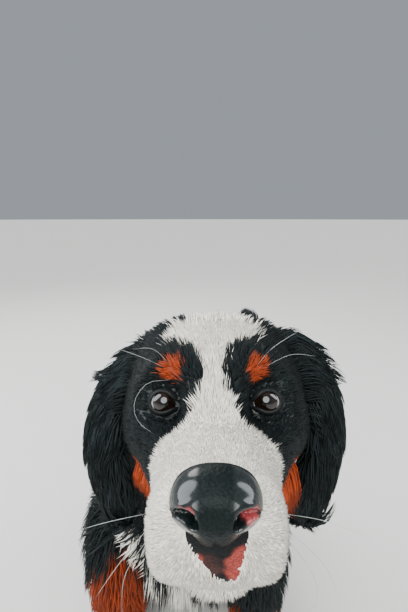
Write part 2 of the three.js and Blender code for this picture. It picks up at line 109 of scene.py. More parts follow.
def eased(x, low, high):
    """0 below low and 1 above high, smooth between."""
    t = np.clip((np.asarray(x, float) - low) / (high - low), 0, 1)
    return t * t * (3 - 2 * t)


class Form:
    """A rounded form along a line of stations, each x, y, z, half width, height up, height down. Its coat
    lists how deep the coat is along it, and lining the share of that on its up side, which is where the
    cross of side and line points to. Caps are the shares of the line that round off at its ends, a square
    over 2 fills out the corners of its section, and cup bends the section's sides up."""

    def __init__(self, stations, coat=(0, 0), side=(1, 0, 0), caps=(0.12, 0.12), square=2, cup=0, bumps=(),
                 frame_of=None, mirror=None, lining=1.0):
        self.stations = np.array(stations, float)
        self.coat = np.array(coat, float)[:, None]
        self.side = np.array(side, float)
        self.caps = caps
        self.square = square
        self.cup = cup
        self.bumps = bumps
        self.frame_of = frame_of
        self.mirror = mirror
        self.lining = lining

    def rounding(self, share):
        first, last = self.caps
        near = np.sqrt(np.maximum(0, 1 - np.clip(1 - share / first, 0, 1) ** 2))
        far = np.sqrt(np.maximum(0, 1 - np.clip(1 - (1 - share) / last, 0, 1) ** 2))
        return (near * far)[:, None]

    def lines(self, share):
        """Stations, and the directions along, to the side and up, at shares of the line."""
        step = 0.004
        ahead = drawn(self.stations[:, :3], np.minimum(share + step, 1))
        along = unit(ahead - drawn(self.stations[:, :3], np.maximum(share - step, 0)))
        side = unit(self.side - along * (along @ self.side)[:, None])
        return drawn(self.stations, share), along, side, np.cross(side, along)

    def depth(self, share):
        return drawn(self.coat, share)[:, 0]

    def surface(self, share, angle, grow=0.0):
        station, along, side, up = self.lines(share)
        grow = np.broadcast_to(grow, share.shape)[:, None]
        round_ = self.rounding(share)
        power = 2 / self.square
        flat = (np.sign(np.cos(angle)) * np.abs(np.cos(angle)) ** power)[:, None]
        high = (np.sign(np.sin(angle)) * np.abs(np.sin(angle)) ** power)[:, None]
        width = np.maximum(station[:, 3:4] + grow, THINNEST) * round_
        height = np.where(high > 0, station[:, 4:5] + grow * self.lining, station[:, 5:6] + grow)
        height = np.maximum(height, THINNEST) * round_
        p = station[:, :3] + side * flat * width + up * (high * height + self.cup * flat**2 * round_)
        p = p + along * np.sign(share - 0.5)[:, None] * grow * (1 - round_)
        return self.placed(p + self.pushed(p))

    def pushed(self, p):
        """Each bump is at, size, push: the surface near at moves by push, fading over size."""
        moved = np.zeros_like(p)
        for at, size, push in self.bumps:
            for way in (1, -1) if at[0] else (1,):
                mirrored = np.array([way, 1, 1])
                gap = (p - mirrored * at) / size
                moved += np.exp(-(gap**2).sum(1, keepdims=True)) * (mirrored * push)
        return moved

    def placed(self, p):
        if self.mirror is not None:
            p = p * [-1, 1, 1] + [2 * self.mirror, 0, 0]
        return p if self.frame_of is None else out_of(self.frame_of, p)

    def turned(self, directions):
        if self.mirror is not None:
            directions = directions * [-1, 1, 1]
        return directions if self.frame_of is None else directions @ self.frame_of[:3, :3].T


SKULL = Form([
    [0, -88, -33, 24, 18, 20],
    [0, -74, -34, 31, 25, 26],
    [0, -52, -34, 32, 28, 29],
    [0, -30, -33, 37, 29, 31],
    [0, -14, -29, 45, 32, 36],
    [0, 0, -22, 53, 45, 46],
    [0, 18, -15, 61, 55, 56],
    [0, 40, -10, 64, 61, 62],
    [0, 64, -6, 62, 61, 58],
    [0, 86, -4, 52, 51, 48],
    [0, 104, -2, 32, 32, 32],
], coat=[1.8, 1.8, 2, 2.5, 3, 4, 6, 8, 9, 10, 10], caps=(0.07, 0.12), square=2.25, frame_of=HEAD, bumps=[
    ((24, -52, -60), (12, 26, 14), (2, 0, -6)),  # hanging upper lips
    ((27, -70, -56), (11, 16, 13), (4, 0, -8)),  # and their full front corners
    ((30, 4, 19), (13, 14, 9), (1, -4, 3)),  # brow ridges
    ((0, 14, 44), (9, 40, 16), (0, 0, -3)),  # furrow of the forehead
    ((58, 22, -34), (16, 26, 22), (4, -2, 0)),  # cheeks
    ((46, 48, 40), (18, 28, 18), (4, 0, 4)),  # full hair before the ears
])
JAW = Form([
    [0, -79, -59, 13, 8, 8],
    [0, -66, -60, 20, 10, 11],
    [0, -44, -60, 24, 12, 13],
    [0, -20, -58, 30, 14, 16],
    [0, 6, -54, 35, 18, 22],
], coat=[2.5, 3, 4, 5, 6], caps=(0.16, 0.2), frame_of=HEAD)
EAR_LINE = np.array([
    [44, 60, 24, 15, 9, 9],
    [61, 58, 18, 22, 9, 12],
    [73, 53, 0, 28, 9, 15],
    [79, 46, -26, 32, 9, 18],
    [79, 39, -56, 31, 9, 18],
    [74, 33, -87, 24, 9, 15],
    [69, 29, -115, 13, 8, 11],
], float)
EAR_SAG = np.array([[-3, 0, -5], [-6, 0, -8], [-6, 0, -8], [-3, 0, -4], [0, 0, 0], [0, 0, 0], [0, 0, 0]])
EAR_LINE[:, :3] += EYE_MIDDLE
FRONT_LEG_LINE = [
    [58, -2, 304, 34, 42, 42],
    [70, -20, 256, 41, 48, 50],
    [76, -22, 208, 39, 44, 45],
    [77, -18, 162, 33, 38, 36],
    [77, -22, 122, 30, 33, 30],
    [77, -29, 84, 28, 29, 28],
    [77, -34, 50, 27, 26, 27],
    [77, -36, 26, 25, 22, 24],
]
FRONT_PAW_LINE = [
    [77, -88, 16, 27, 14, 18],
    [77, -70, 20, 33, 20, 22],
    [77, -48, 25, 31, 25, 28],
    [77, -24, 26, 25, 22, 29],
    [77, -12, 24, 19, 16, 26],
]
THIGH_LINE = [
    [97, 50, 98, 24, 34, 36],
    [94, 86, 106, 36, 60, 60],
    [86, 130, 116, 43, 78, 78],
    [74, 178, 114, 46, 80, 82],
    [58, 222, 98, 40, 64, 72],
]
PASTERN_LINE = [
    [92, 70, 24, 25, 20, 27],
    [90, 118, 27, 22, 23, 30],
    [86, 164, 30, 22, 26, 33],
    [80, 206, 34, 22, 30, 37],
]
HIND_PAW_LINE = [
    [94, 26, 15, 25, 13, 18],
    [94, 46, 19, 31, 19, 22],
    [93, 70, 22, 29, 22, 25],
    [92, 98, 23, 24, 20, 26],
]
NECK = Form([
    [26, -112, 440, 56, 46, 46],
    [22, -80, 405, 68, 60, 58],
    [14, -46, 362, 80, 72, 72],
    [6, -10, 322, 92, 86, 87],
    [0, 26, 288, 92, 88, 88],
    [0, 62, 252, 86, 84, 84],
], coat=[20, 28, 30, 28, 28, 28], caps=(0.14, 0.16))
TORSO = Form([
    [0, -92, 286, 54, 46, 52],
    [0, -56, 290, 80, 74, 80],
    [0, -16, 286, 91, 88, 92],
    [0, 42, 258, 99, 100, 102],
    [0, 102, 212, 103, 100, 102],
    [0, 160, 160, 105, 94, 98],
    [0, 206, 112, 103, 86, 90],
    [0, 226, 66, 98, 70, 84],
    [0, 230, 18, 92, 58, 78],
], coat=[26, 26, 26, 26, 26, 26, 26, 24, 16], caps=(0.1, 0.05))
TAIL = Form([
    [0, 258, 62, 26, 26, 28],
    [3, 300, 46, 31, 30, 34],
    [16, 342, 34, 34, 32, 37],
    [46, 378, 30, 36, 31, 33],
    [82, 402, 27, 34, 29, 30],
    [116, 412, 24, 27, 25, 27],
    [144, 412, 20, 15, 17, 23],
], coat=[20, 20, 22, 22, 20, 18, 12], caps=(0.1, 0.16))
SIDES = {"left": 1, "right": -1}
FORMS = {"skull": SKULL, "jaw": JAW, "neck": NECK, "torso": TORSO, "tail": TAIL}
for side, way in SIDES.items():
    mirror = None if way > 0 else 0
    ear_line = EAR_LINE.copy()
    ear_line[:, :3] += EAR_SAG if way < 0 else 0
    FORMS[f"ear_{side}"] = Form(ear_line, [6, 7, 8, 8, 8, 8, 8], (0.4, 0.92, 0), (0.12, 0.16), cup=6,
                                mirror=None if way > 0 else EYE_MIDDLE[0], lining=0.2)
    FORMS[f"front_leg_{side}"] = Form(FRONT_LEG_LINE, [22, 20, 18, 12, 9, 7, 6, 5], mirror=mirror)
    FORMS[f"front_paw_{side}"] = Form(FRONT_PAW_LINE, [4, 5, 5, 6, 6], mirror=mirror)
    FORMS[f"thigh_{side}"] = Form(THIGH_LINE, [20, 22, 22, 22, 22], mirror=mirror)
    FORMS[f"pastern_{side}"] = Form(PASTERN_LINE, [6, 8, 9, 9], mirror=mirror)
    FORMS[f"hind_paw_{side}"] = Form(HIND_PAW_LINE, [4, 5, 5, 6], mirror=mirror)
FORM_NAMES = np.array(list(FORMS))


def in_scene(name, data):
    """An object of the scene that shows the data."""
    shown = bpy.data.objects.new(name, data)
    bpy.context.scene.collection.objects.link(shown)
    return shown


def made(bm, name):
    """Turns a bmesh into a mesh of that name."""
    mesh = bpy.data.meshes.new(name)
    bm.to_mesh(mesh)
    bm.free()
    return mesh


def add_ball(bm, ball_mesh, spots_of):
    """Adds a ball to a bmesh, each point of the unit ball moved to where spots_of says in the dog's frame."""
    start = len(bm.verts)
    bm.from_mesh(ball_mesh)
    bm.verts.ensure_lookup_table()
    added = bm.verts[start:]
    spots = packed(spots_of(np.array([v.co for v in added])))
    for vert, spot in zip(added, spots.tolist()):
        vert.co = spot


def unit_ball(around, rings):
    """A ball of radius 1, whose points carry the form's share and angle."""
    bm = bmesh.new()
    bmesh.ops.create_uvsphere(bm, u_segments=around, v_segments=rings, radius=1)
    return made(bm, "unit_ball")


def under_coat(form):
    """The form's own surface, drawn in by its coat, over the points of a unit ball."""
    def spots_of(ball):
        share = (1 + np.clip(ball[:, 2], -1, 1)) / 2
        return form.surface(share, np.arctan2(ball[:, 1], ball[:, 0]), -form.depth(share))

    return spots_of


TOES = (-22, -8, 8, 22)
TOE_SIZES = (8.5, 14.5, 13.5)
TOE_HEIGHT = 15
OUTER_TOES_BACK = 9
FUSING_GRAIN = 3.0


def toe_places():
    """Middles of the sixteen toes, and how far each stands from the middle of its paw."""
    for way in (1, -1):
        for across, front in ((77, -84), (94, 32)):
            for offset in TOES:
                back = OUTER_TOES_BACK if abs(offset) == TOES[-1] else 0
                yield (way * across + offset, front + back, TOE_HEIGHT), offset


hide = bmesh.new()
fine_ball = unit_ball(48, 48)
for form in FORMS.values():
    add_ball(hide, fine_ball, under_coat(form))
small_ball = unit_ball(16, 12)
for at, _ in toe_places():
    add_ball(hide, small_ball, lambda ball, at=at: ball * TOE_SIZES + at)
bmesh.ops.recalc_face_normals(hide, faces=hide.faces)
skin = in_scene("skin", made(hide, "skin"))
fused = skin.modifiers.new("fused", "REMESH")
fused.mode = "VOXEL"
fused.voxel_size = FUSING_GRAIN * MILLIMETRE
smoothed = skin.modifiers.new("smoothed", "SMOOTH")
smoothed.factor = 0.5
smoothed.iterations = 4
skin.data = bpy.data.meshes.new_from_object(skin.evaluated_get(bpy.context.evaluated_depsgraph_get()))
skin.modifiers.clear()


def mesh_points(mesh):
    """The mesh's points in the dog's own frame."""
    points = np.empty(len(mesh.vertices) * 3, np.float32)
    mesh.vertices.foreach_get("co", points)
    return own(points.reshape(-1, 3))


# Each eye stands in a socket that the skin dips into. Its frame looks out of the opening of the lids.
EYE_TURN = 7
EYE_LIFT = -9
OPENING = (8.4, 6.4)
OPENING_DEPTH = 4
SOCKET_REACH = 22
SOCKET_BACK = 8


def eye_frame(way):
    """The frame of the eye on that side, its -Y the way that the lids open to."""
    turn = turned_frame((way * EYE_SPREAD, 0, 0), turn=way * EYE_TURN)
    return HEAD @ turn @ turned_frame((0, 0, 0), lift=EYE_LIFT)


EYES = {side: eye_frame(way) for side, way in SIDES.items()}


def round_eye(from_axis, radius):
    """How far forward the skin stands round an eye, at a distance from the axis that the eye looks along: on
    the ball at first, and then, from where its slope is 4 to 3, back more and more slowly."""
    edge = 0.8 * radius
    inner = np.sqrt(np.maximum(radius**2 - np.minimum(from_axis, edge) ** 2, 0))
    beyond = np.maximum(from_axis - edge, 0)
    return -inner + 1.33 * 5 * (1 - np.exp(-beyond / 5))


hide_points = mesh_points(skin.data)
for frame_of in EYES.values():
    p = into(frame_of, hide_points)
    from_axis = np.hypot(p[:, 0], p[:, 2])
    near = (p[:, 1] < SOCKET_BACK) & (from_axis < SOCKET_REACH)
    fade = eased(-from_axis, -SOCKET_REACH, -10)
    wanted = round_eye(from_axis, EYE_RADIUS + 0.9)
    wanted = wanted + OPENING_DEPTH * (np.hypot(p[:, 0] / OPENING[0], p[:, 2] / OPENING[1]) < 1)
    p[:, 1] = np.where(near, p[:, 1] + (wanted - p[:, 1]) * fade, p[:, 1])
    hide_points = out_of(frame_of, p)
skin.data.vertices.foreach_set("co", packed(hide_points).astype(np.float32).ravel())
skin.data.update()

hide_normals = np.empty(len(hide_points) * 3, np.float32)
skin.data.vertex_normals.foreach_get("vector", hide_normals)
hide_normals = hide_normals.reshape(-1, 3).astype(float)
skin.data.calc_loop_triangles()
TRIANGLES = np.empty(len(skin.data.loop_triangles) * 3, np.int32)
skin.data.loop_triangles.foreach_get("vertices", TRIANGLES)
TRIANGLES = TRIANGLES.reshape(-1, 3)


# Markings: skin and coat carry the same three colours, black over the body, rust between, and white on the
# blaze, the muzzle, the chest, the paws and the tip of the tail. Edges are set in the dog's own frame.
BLACK = np.array([0.0060, 0.0096, 0.0106])
RUST = np.array([0.34, 0.046, 0.010])
# The body's rust is painted darker than the head's: painted shade, as the body lies in less light.
SHADED_BODY_RUST = 0.72 * RUST
WHITE = np.array([0.90, 0.845, 0.765])
EDGE_WANDER = 2.2
FIELD_STEPS = 32
FIELD_BLEND = 0.1
LIES = {  # along the form's line, and down
    "skull": (0, 0.05),
    "jaw": (0, 0.05),
    "ear": (1, 0.25),
    "neck": (1, 0.45),
    "torso": (1, 0.35),
    "tail": (1, 0.25),
    "front_leg": (1, 0.3),
    "front_paw": (-1, 0.1),
    "thigh": (-0.25, 1),
    "pastern": (-1, 0.1),
    "hind_paw": (-1, 0.1),
}


def wander(points, size, seed):
    """Smooth seeded noise, about -1 to 1, of about that wavelength: the sum of seven waves."""
    draw = np.random.default_rng(seed)
    total = np.zeros(len(points))
    for _ in range(7):
        direction = unit(draw.normal(size=3)) * draw.uniform(0.7, 1.6)
        total += np.sin(points @ direction * (2 * np.pi / size) + draw.uniform(0, 2 * np.pi))
    return total / 3.2


def head_lie(p):
    """On the head the coat runs back from the nose, up between the eyes and out over the brows and cheeks."""
    x, y, z = p.T
    out = np.sign(x) * eased(np.abs(x), 4, 34)
    brow = eased(z, 2, 20) * eased(-y, -24, 6)
    cheek = eased(-z, 15, 45)
    return unit(np.stack([0.55 * out, np.ones_like(x), 0.35 * brow - 0.4 * cheek], 1))


def field(points):
    """At points on the skin: the nearest form, the share and angle on it, the coat's depth and its lie."""
    reach, shares, angles = np.empty((3, len(FORMS), len(points)))
    lies = np.empty((len(FORMS), len(points), 3))
    steps = (np.arange(FIELD_STEPS) + 0.5) / FIELD_STEPS
    for k, (name, form) in enumerate(FORMS.items()):
        station, along, side, up = form.lines(steps)
        centres = form.placed(station[:, :3])
        along, side, up = (form.turned(d) for d in (along, side, up))
        depth = form.depth(steps)[:, None]
        drawn_in = station[:, 3:6] - depth * [1, form.lining, 1]
        wide, high, low = (np.maximum(drawn_in, THINNEST) * form.rounding(steps)).T
        length = np.linalg.norm(np.diff(centres, axis=0), axis=1).sum() * FIELD_STEPS / (FIELD_STEPS - 1)
        down_line, down = LIES[name.removesuffix("_left").removesuffix("_right")]
        middles = [(centres * d).sum(1) for d in (side, up, along)]
        across, rise, on = (points @ d.T - middle for d, middle in zip((side, up, along), middles))
        scaled = (across / wide) ** 2 + (rise / np.where(rise > 0, high, low)) ** 2
        scaled = np.sqrt(scaled + (on / (0.6 * (wide + high))) ** 2)
        j = scaled.argmin(1)
        at = np.arange(len(j))
        reach[k] = scaled[at, j]
        shares[k] = np.clip(steps[j] + on[at, j] / length, 0, 1)
        angles[k] = np.arctan2(rise[at, j] / high[j], across[at, j] / wide[j])
        lies[k] = down_line * along[j] + [0, 0, -down]
        if form.frame_of is HEAD:
            lies[k] += head_lie(into(HEAD, points)) @ HEAD[:3, :3].T
    weights = np.exp(-(reach - reach.min(0)) / FIELD_BLEND)
    weights /= weights.sum(0)
    depth = sum(weights[k] * form.depth(shares[k]) for k, form in enumerate(FORMS.values()))
    lie = (weights[:, :, None] * lies).sum(0)
    nearest = reach.argmin(0)
    at = np.arange(len(points))
    return nearest, shares[nearest, at], angles[nearest, at], depth, lie


# Half widths of the blaze over the head's length, on the dog's right and left. The tables after it run over
# heights: where the muzzle's white ends at the back, and the bib's middle and half width. A spot of colour is
# the middle and the half sizes of an ellipsoid.
BLAZE_SHARES = [0, 0.22, 0.25, 0.3, 0.345, 0.38, 0.42, 0.46, 0.5, 0.55, 0.6, 0.66, 0.72, 0.8, 0.88, 0.93, 1]
BLAZE_RIGHT = [70, 70, 50, 40, 37, 31, 16, 8, 6, 9, 19, 33, 29, 18, 6, -4, -20]
BLAZE_LEFT = [70, 70, 50, 40, 37, 32, 15, 6, 4.5, 5, 12, 30, 28, 17, 5, -4, -20]
MUZZLE_WHITE = [-90, -66, -60, -48, -30, -10], [24, 10, -22, -28, -35, -44]
BIB_MIDDLE = [200, 300, 400], [0, -4, 16]
BIB_WIDTH = [140, 180, 225, 250, 320, 400, 430], [-10, 20, 24, 8, 6, 16, 16]
BROW_SPOT = (26.5, -11, 22), (7.6, 11.5, 9)
CHEEK_SPOT = (46, -2, -56), (28, 32, 21)
COLLAR_SPOT = (-38, -84, 284), (17, 34, 15)
BREAST_SPOT = (-58, -84, 238), (26, 34, 32)
KNEE_SPOT = (96, 40, 70), (34, 44, 40)
SEAT_SPOT = (0, 262, 44), (60, 44, 34)
FRONT_WHITE_TOP = 70
HIND_WHITE_BACK = 66
TAIL_WHITE_SHARE = 0.84
TAIL_LENGTH = 260
FAR_OUT = -50


def inside(p, centre, sizes):
    """How far points are inside an ellipsoid, in millimetres, about."""
    return (1 - np.linalg.norm((p - centre) / sizes, axis=1)) * min(sizes)


def coat_colours(points, spread=1.0):
    """The coat's colour at points in the dog's own frame. Masks are signed distances in millimetres."""
    nearest, share, angle, _, _ = field(points)
    names = FORM_NAMES[nearest]
    on_head = np.isin(names, ("skull", "jaw"))
    on_trunk = np.isin(names, ("neck", "torso"))
    on_front = np.char.startswith(names, "front_")
    on_hind = np.char.startswith(names, "hind_") | np.char.startswith(names, "pastern")
    local = into(HEAD, points)
    x, y, z = local.T
    mirrored = np.stack([np.abs(x), y, z], 1)

    right, left = (np.interp(share, BLAZE_SHARES, widths) for widths in (BLAZE_RIGHT, BLAZE_LEFT))
    blaze = np.where(x < 0, right, left) - np.abs(x)
    blaze = np.where((names == "skull") & (z > -30), blaze, FAR_OUT)
    throat = np.minimum(24 - np.abs(x), -52 - z)
    head_white = np.maximum.reduce([blaze, np.interp(z, *MUZZLE_WHITE) - y, throat])
    head_rust = np.maximum(inside(mirrored, *BROW_SPOT), inside(mirrored, *CHEEK_SPOT))

    x, y, z = points.T
    mirrored = np.stack([np.abs(x), y, z], 1)
    bib = np.interp(z, *BIB_WIDTH) - np.abs(x - np.interp(z, *BIB_MIDDLE))
    bib = np.minimum(bib, 40 - y - 0.3 * (z - 200))
    slanted = np.stack([x, y, z + 0.4 * (x + 50)], 1)
    neck_front = np.where(names == "neck", -60 * np.sin(angle) - 4, -FAR_OUT)
    bib = np.minimum(np.maximum(bib, inside(slanted, *COLLAR_SPOT)), neck_front)
    bib = np.where(on_trunk, bib, FAR_OUT)
    front_white = np.where(on_front, FRONT_WHITE_TOP - z + 10 * (y < -40), FAR_OUT)
    hind_white = np.where(on_hind, HIND_WHITE_BACK - y, FAR_OUT)
    tail_white = np.where(names == "tail", (share - TAIL_WHITE_SHARE) * TAIL_LENGTH, FAR_OUT)
    body_white = np.maximum.reduce([bib, front_white, hind_white, tail_white])

    right_top = np.where(y < -30, 246, 196) - 1.1 * np.maximum(-x - 66, 0)
    leg_top = np.where(x < 0, right_top, np.where(y < -30, 160, 150))
    front_rust = np.where(on_front, leg_top - z, FAR_OUT)
    breast = np.where(on_trunk | on_front, inside(points, *BREAST_SPOT), FAR_OUT)
    hind_rust = np.where(on_hind, 30, FAR_OUT)
    knee = inside(mirrored, *KNEE_SPOT)
    body_rust = np.maximum.reduce([front_rust, breast, hind_rust, knee, inside(points, *SEAT_SPOT)])

    white = np.where(on_head, head_white, body_white)
    rust = np.where(on_head, head_rust, body_rust)
    shift = EDGE_WANDER * wander(points, 14, 3) + 0.4 * EDGE_WANDER * wander(points, 5, 4)
    shift = shift * np.where(on_head, 0.6, 1.8)
    white = eased(white + shift, -spread, spread)[:, None]
    rust = eased(rust + shift, -spread, spread)[:, None]
    colours = BLACK * (1 - rust) + np.where(on_head[:, None], RUST, SHADED_BODY_RUST) * rust
    return colours * (1 - white) + WHITE * white


hide_form, hide_share, hide_angle, hide_depth, hide_lie = field(hide_points)
hide_lie = unit(hide_lie)
for frame_of in EYES.values():
    p = into(frame_of, hide_points)
    apart = np.linalg.norm(p, axis=1)
    hide_depth = hide_depth * (0.35 + 0.65 * eased(apart, 10, 30))  # short hair round the eyes


def painted(mesh, attribute, colours):
    """Gives a mesh a colour at each of its points, and smooth faces."""
    tints = np.ones((len(mesh.vertices), 4), np.float32)
    tints[:, :colours.shape[1]] = colours
    mesh.attributes.new(attribute, "FLOAT_COLOR", "POINT").data.foreach_set("color", tints.ravel())
    mesh.polygons.foreach_set("use_smooth", np.ones(len(mesh.polygons), bool))


def new_finish(name, values):
    """A material with values on its shader's own sockets. Also gives its node tree and the shader."""
    finish = bpy.data.materials.new(name)
    finish.use_nodes = True
    shader = finish.node_tree.nodes["Principled BSDF"]
    for socket, value in values.items():
        shader.inputs[socket].default_value = value
    return finish, finish.node_tree, shader


def add_node(tree, kind, inputs=None, operation=None):
    """A shader node of that kind, whose inputs take a value or are linked to an output."""
    node = tree.nodes.new("ShaderNode" + kind)
    if operation:
        node.operation = operation
    for socket, given in (inputs or {}).items():
        if isinstance(given, bpy.types.NodeSocket):
            tree.links.new(given, node.inputs[socket])
        else:
            node.inputs[socket].default_value = given
    return node


def painted_colour(tree, attribute):
    """The node that reads what painted gave a mesh."""
    tint = add_node(tree, "Attribute")
    tint.attribute_name = attribute
    return tint


def fitted(piece, finish):
    """Gives a piece its material, and fixes it on the dog's one body."""
    piece.data.materials.append(finish)
    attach(piece, "root")


# Painted shade: the skin under the hair is painted a little darker than the coat over it.
UNDER_COAT_SHADE = 0.9
painted(skin.data, "coat", coat_colours(hide_points) * UNDER_COAT_SHADE)
skin_finish, tree, shader = new_finish("skin_under_coat", {"Roughness": 0.5})
places = add_node(tree, "TexCoord").outputs["Object"]
pores = add_node(tree, "TexNoise", {"Vector": places, "Scale": 900, "Detail": 3})
raised = add_node(tree, "Bump", {"Height": pores.outputs["Fac"], "Strength": 0.4, "Distance": 0.0006})
tree.links.new(painted_colour(tree, "coat").outputs["Color"], shader.inputs["Base Color"])
tree.links.new(raised.outputs["Normal"], shader.inputs["Normal"])
fitted(skin, skin_finish)
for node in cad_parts:
    if not node.startswith(("eye", "nose")):
        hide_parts(node)


# Eyes: near-black brown eyeballs with a clear, wet front, both turned up to whoever looks down at the dog.
# The map of each runs out from the middle of the pupil, so iris, fibres and white are rings on it.
LOOKED_AT = EYE_MIDDLE + [-6.8, -231, 112]
IRIS_EDGE = math.radians(49)
CORNEA_RISE = 0.9
GAZE_EASE = 0.12
EYE_RINGS = [  # quarters of a turn from the middle of the pupil, and the colour there
    (0.0, (0.001, 0.001, 0.001)),
    (0.15, (0.001, 0.001, 0.001)),
    (0.18, (0.006, 0.003, 0.002)),
    (0.42, (0.010, 0.005, 0.003)),
    (0.48, (0.005, 0.003, 0.002)),
    (0.515, (0.002, 0.002, 0.002)),
    (0.55, (0.36, 0.35, 0.34)),
    (0.80, (0.40, 0.33, 0.30)),
]


def ranged(tree, value, given, wanted):
    """A value, mapped from the range given to the range wanted."""
    node = add_node(tree, "MapRange", {"Value": value, "From Min": given[0], "From Max": given[1],
                                       "To Min": wanted[0], "To Max": wanted[1]})
    return node.outputs["Result"]


def shaded(tree, colour, factor):
    """A colour times a factor that changes over the surface."""
    return add_node(tree, "VectorMath", {0: colour, "Scale": factor}, "SCALE").outputs["Vector"]


eye_finish, tree, shader = new_finish("eye_brown_clear", {
    "Roughness": 0.1, "Specular IOR Level": 0.0, "Coat Weight": 1, "Coat Roughness": 0.02, "Coat IOR": 1.62,
})
gaze_map = add_node(tree, "UVMap")
gaze_map.uv_map = "Gaze"
centred = add_node(tree, "VectorMath", {0: gaze_map.outputs["UV"], 1: (0.5, 0.5, 0)}, "SUBTRACT").outputs[0]
from_pupil = add_node(tree, "VectorMath", {0: centred}, "LENGTH").outputs["Value"]
quarter_turns = add_node(tree, "Math", {0: from_pupil, 1: 4}, "MULTIPLY").outputs["Value"]
rings_of_eye = add_node(tree, "ValToRGB", {"Fac": quarter_turns})
stops = rings_of_eye.color_ramp.elements
while len(stops) < len(EYE_RINGS):
    stops.new(0.5)
for stop, (place, colour) in zip(stops, EYE_RINGS):
    stop.position = place
    stop.color = (*colour, 1)
spokes = add_node(tree, "VectorMath", {0: centred}, "NORMALIZE").outputs[0]
fibres = add_node(tree, "TexNoise", {"Vector": spokes, "Scale": 9, "Detail": 3}).outputs["Fac"]
fibred = shaded(tree, rings_of_eye.outputs["Color"], ranged(tree, fibres, (0.35, 0.65), (0.6, 1.4)))
tree.links.new(fibred, shader.inputs["Base Color"])

for side, frame_of in EYES.items():
    middle = frame_of[:3, 3]
    gaze = unit(LOOKED_AT - middle) - GAZE_EASE * frame_of[:3, 1]
    aim = np.array(Vector(gaze).to_track_quat("Z", "Y").to_matrix())
    ball = bmesh.new()
    bmesh.ops.create_uvsphere(ball, u_segments=64, v_segments=48, radius=1)
    gaze_layer = ball.loops.layers.uv.new("Gaze")
    for face in ball.faces:
        face.smooth = True
        for loop in face.loops:
            x, y, z = loop.vert.co
            out = math.acos(max(-1, min(1, z))) / math.pi / (math.hypot(x, y) or 1)
            loop[gaze_layer].uv = (0.5 + 0.5 * out * x, 0.5 + 0.5 * out * y)
    for vert in ball.verts:
        from_gaze = math.acos(max(-1, min(1, vert.co.z)))
        rise = CORNEA_RISE * (1 - min(1, from_gaze / IRIS_EDGE) ** 2) ** 2
        vert.co = packed(middle + aim @ np.array(vert.co) * (EYE_RADIUS + rise))
    eyeball = in_scene(f"eyeball_{side}", made(ball, f"eyeball_{side}"))
    fitted(eyeball, eye_finish)
    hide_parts(f"eye_{side}")


# Eyelids: bare, dark rims round the eyeballs, wet along the edge, drawn out to a corner towards the nose.
# Each is a closed ring of hoops, from the edge on the eyeball out under the hair.
LID_OPENING = (6.7, 6.3, 4.7)  # half width, above and below
LID_CORNER = 2.8
LID_CORNER_DROP = 1.2
LID_FLATNESS = 0.12
LID_HOOPS = 72
LID_SECTION = [  # how far out from the edge, and how high over the eyeball
    (0, -0.3), (0, 0.3), (0.35, 0.85), (1.1, 1.3), (2.2, 1.3), (3.6, 0.8), (5.2, -0.6), (6.4, -2.2),
    (5, -2.8), (3, -2), (0.8, -1.1),
]
LID_BLACK = np.array([0.009, 0.010, 0.011])

pebbled = bpy.data.node_groups.new("pebbled_skin", "ShaderNodeTree")
for socket in ("Scale", "Height", "Wetness"):
    pebbled.interface.new_socket(socket, in_out="INPUT", socket_type="NodeSocketFloat")
for socket, kind in (("Color", "Color"), ("Coat", "Float"), ("Normal", "Vector")):
    pebbled.interface.new_socket(socket, in_out="OUTPUT", socket_type="NodeSocket" + kind)
given = pebbled.nodes.new("NodeGroupInput").outputs
taken = pebbled.nodes.new("NodeGroupOutput").inputs
places = add_node(pebbled, "TexCoord").outputs["Object"]
pebbles = add_node(pebbled, "TexVoronoi")
pebbles.feature = "SMOOTH_F1"
pebbles.inputs["Smoothness"].default_value = 0.35
pebbled.links.new(places, pebbles.inputs["Vector"])
pebbled.links.new(given["Scale"], pebbles.inputs["Scale"])
apart = pebbles.outputs["Distance"]
raised = add_node(pebbled, "Bump", {"Height": apart, "Distance": given["Height"], "Strength": 0.8})
raised.invert = True
tint = painted_colour(pebbled, "tint")
# Painted shade and light on the pebbles: darker in the grooves between them, lighter on their tops.
pebble_shaded = shaded(pebbled, tint.outputs["Color"], ranged(pebbled, apart, (0, 0.7), (1.3, 0.6)))
wetted = add_node(pebbled, "Math", {0: tint.outputs["Alpha"], 1: given["Wetness"]}, "MULTIPLY")
pebbled.links.new(pebble_shaded, taken["Color"])
pebbled.links.new(wetted.outputs["Value"], taken["Coat"])
pebbled.links.new(raised.outputs["Normal"], taken["Normal"])


def bare_skin(name, roughness, wetness, bump_scale, bump_height):
    """Bare, dark skin: its colour comes from the attribute tint, and how wet it is from that one's alpha."""
    values = {"Roughness": roughness, "Specular IOR Level": 0.12, "Coat Roughness": 0.14}
    finish, tree, shader = new_finish(name, values)
    skin_like = add_node(tree, "Group")
    skin_like.node_tree = pebbled
    for socket, value in (("Scale", bump_scale), ("Height", bump_height), ("Wetness", wetness)):
        skin_like.inputs[socket].default_value = value
    for output, socket in (("Color", "Base Color"), ("Coat", "Coat Weight"), ("Normal", "Normal")):
        tree.links.new(skin_like.outputs[output], shader.inputs[socket])
    return finish


def finished_piece(name, bm, colours, finish):
    """Turns a bmesh into a piece of the dog, of one colour or of colours from a function of its points."""
    bmesh.ops.recalc_face_normals(bm, faces=bm.faces)
    mesh = made(bm, name)
    painted(mesh, "tint", colours(mesh_points(mesh)) if callable(colours) else colours[None])
    piece = in_scene(name, mesh)
    fitted(piece, finish)
    return piece


lid_finish = bare_skin("eyelid_skin", 0.5, 0.12, 1500, 0.0003)


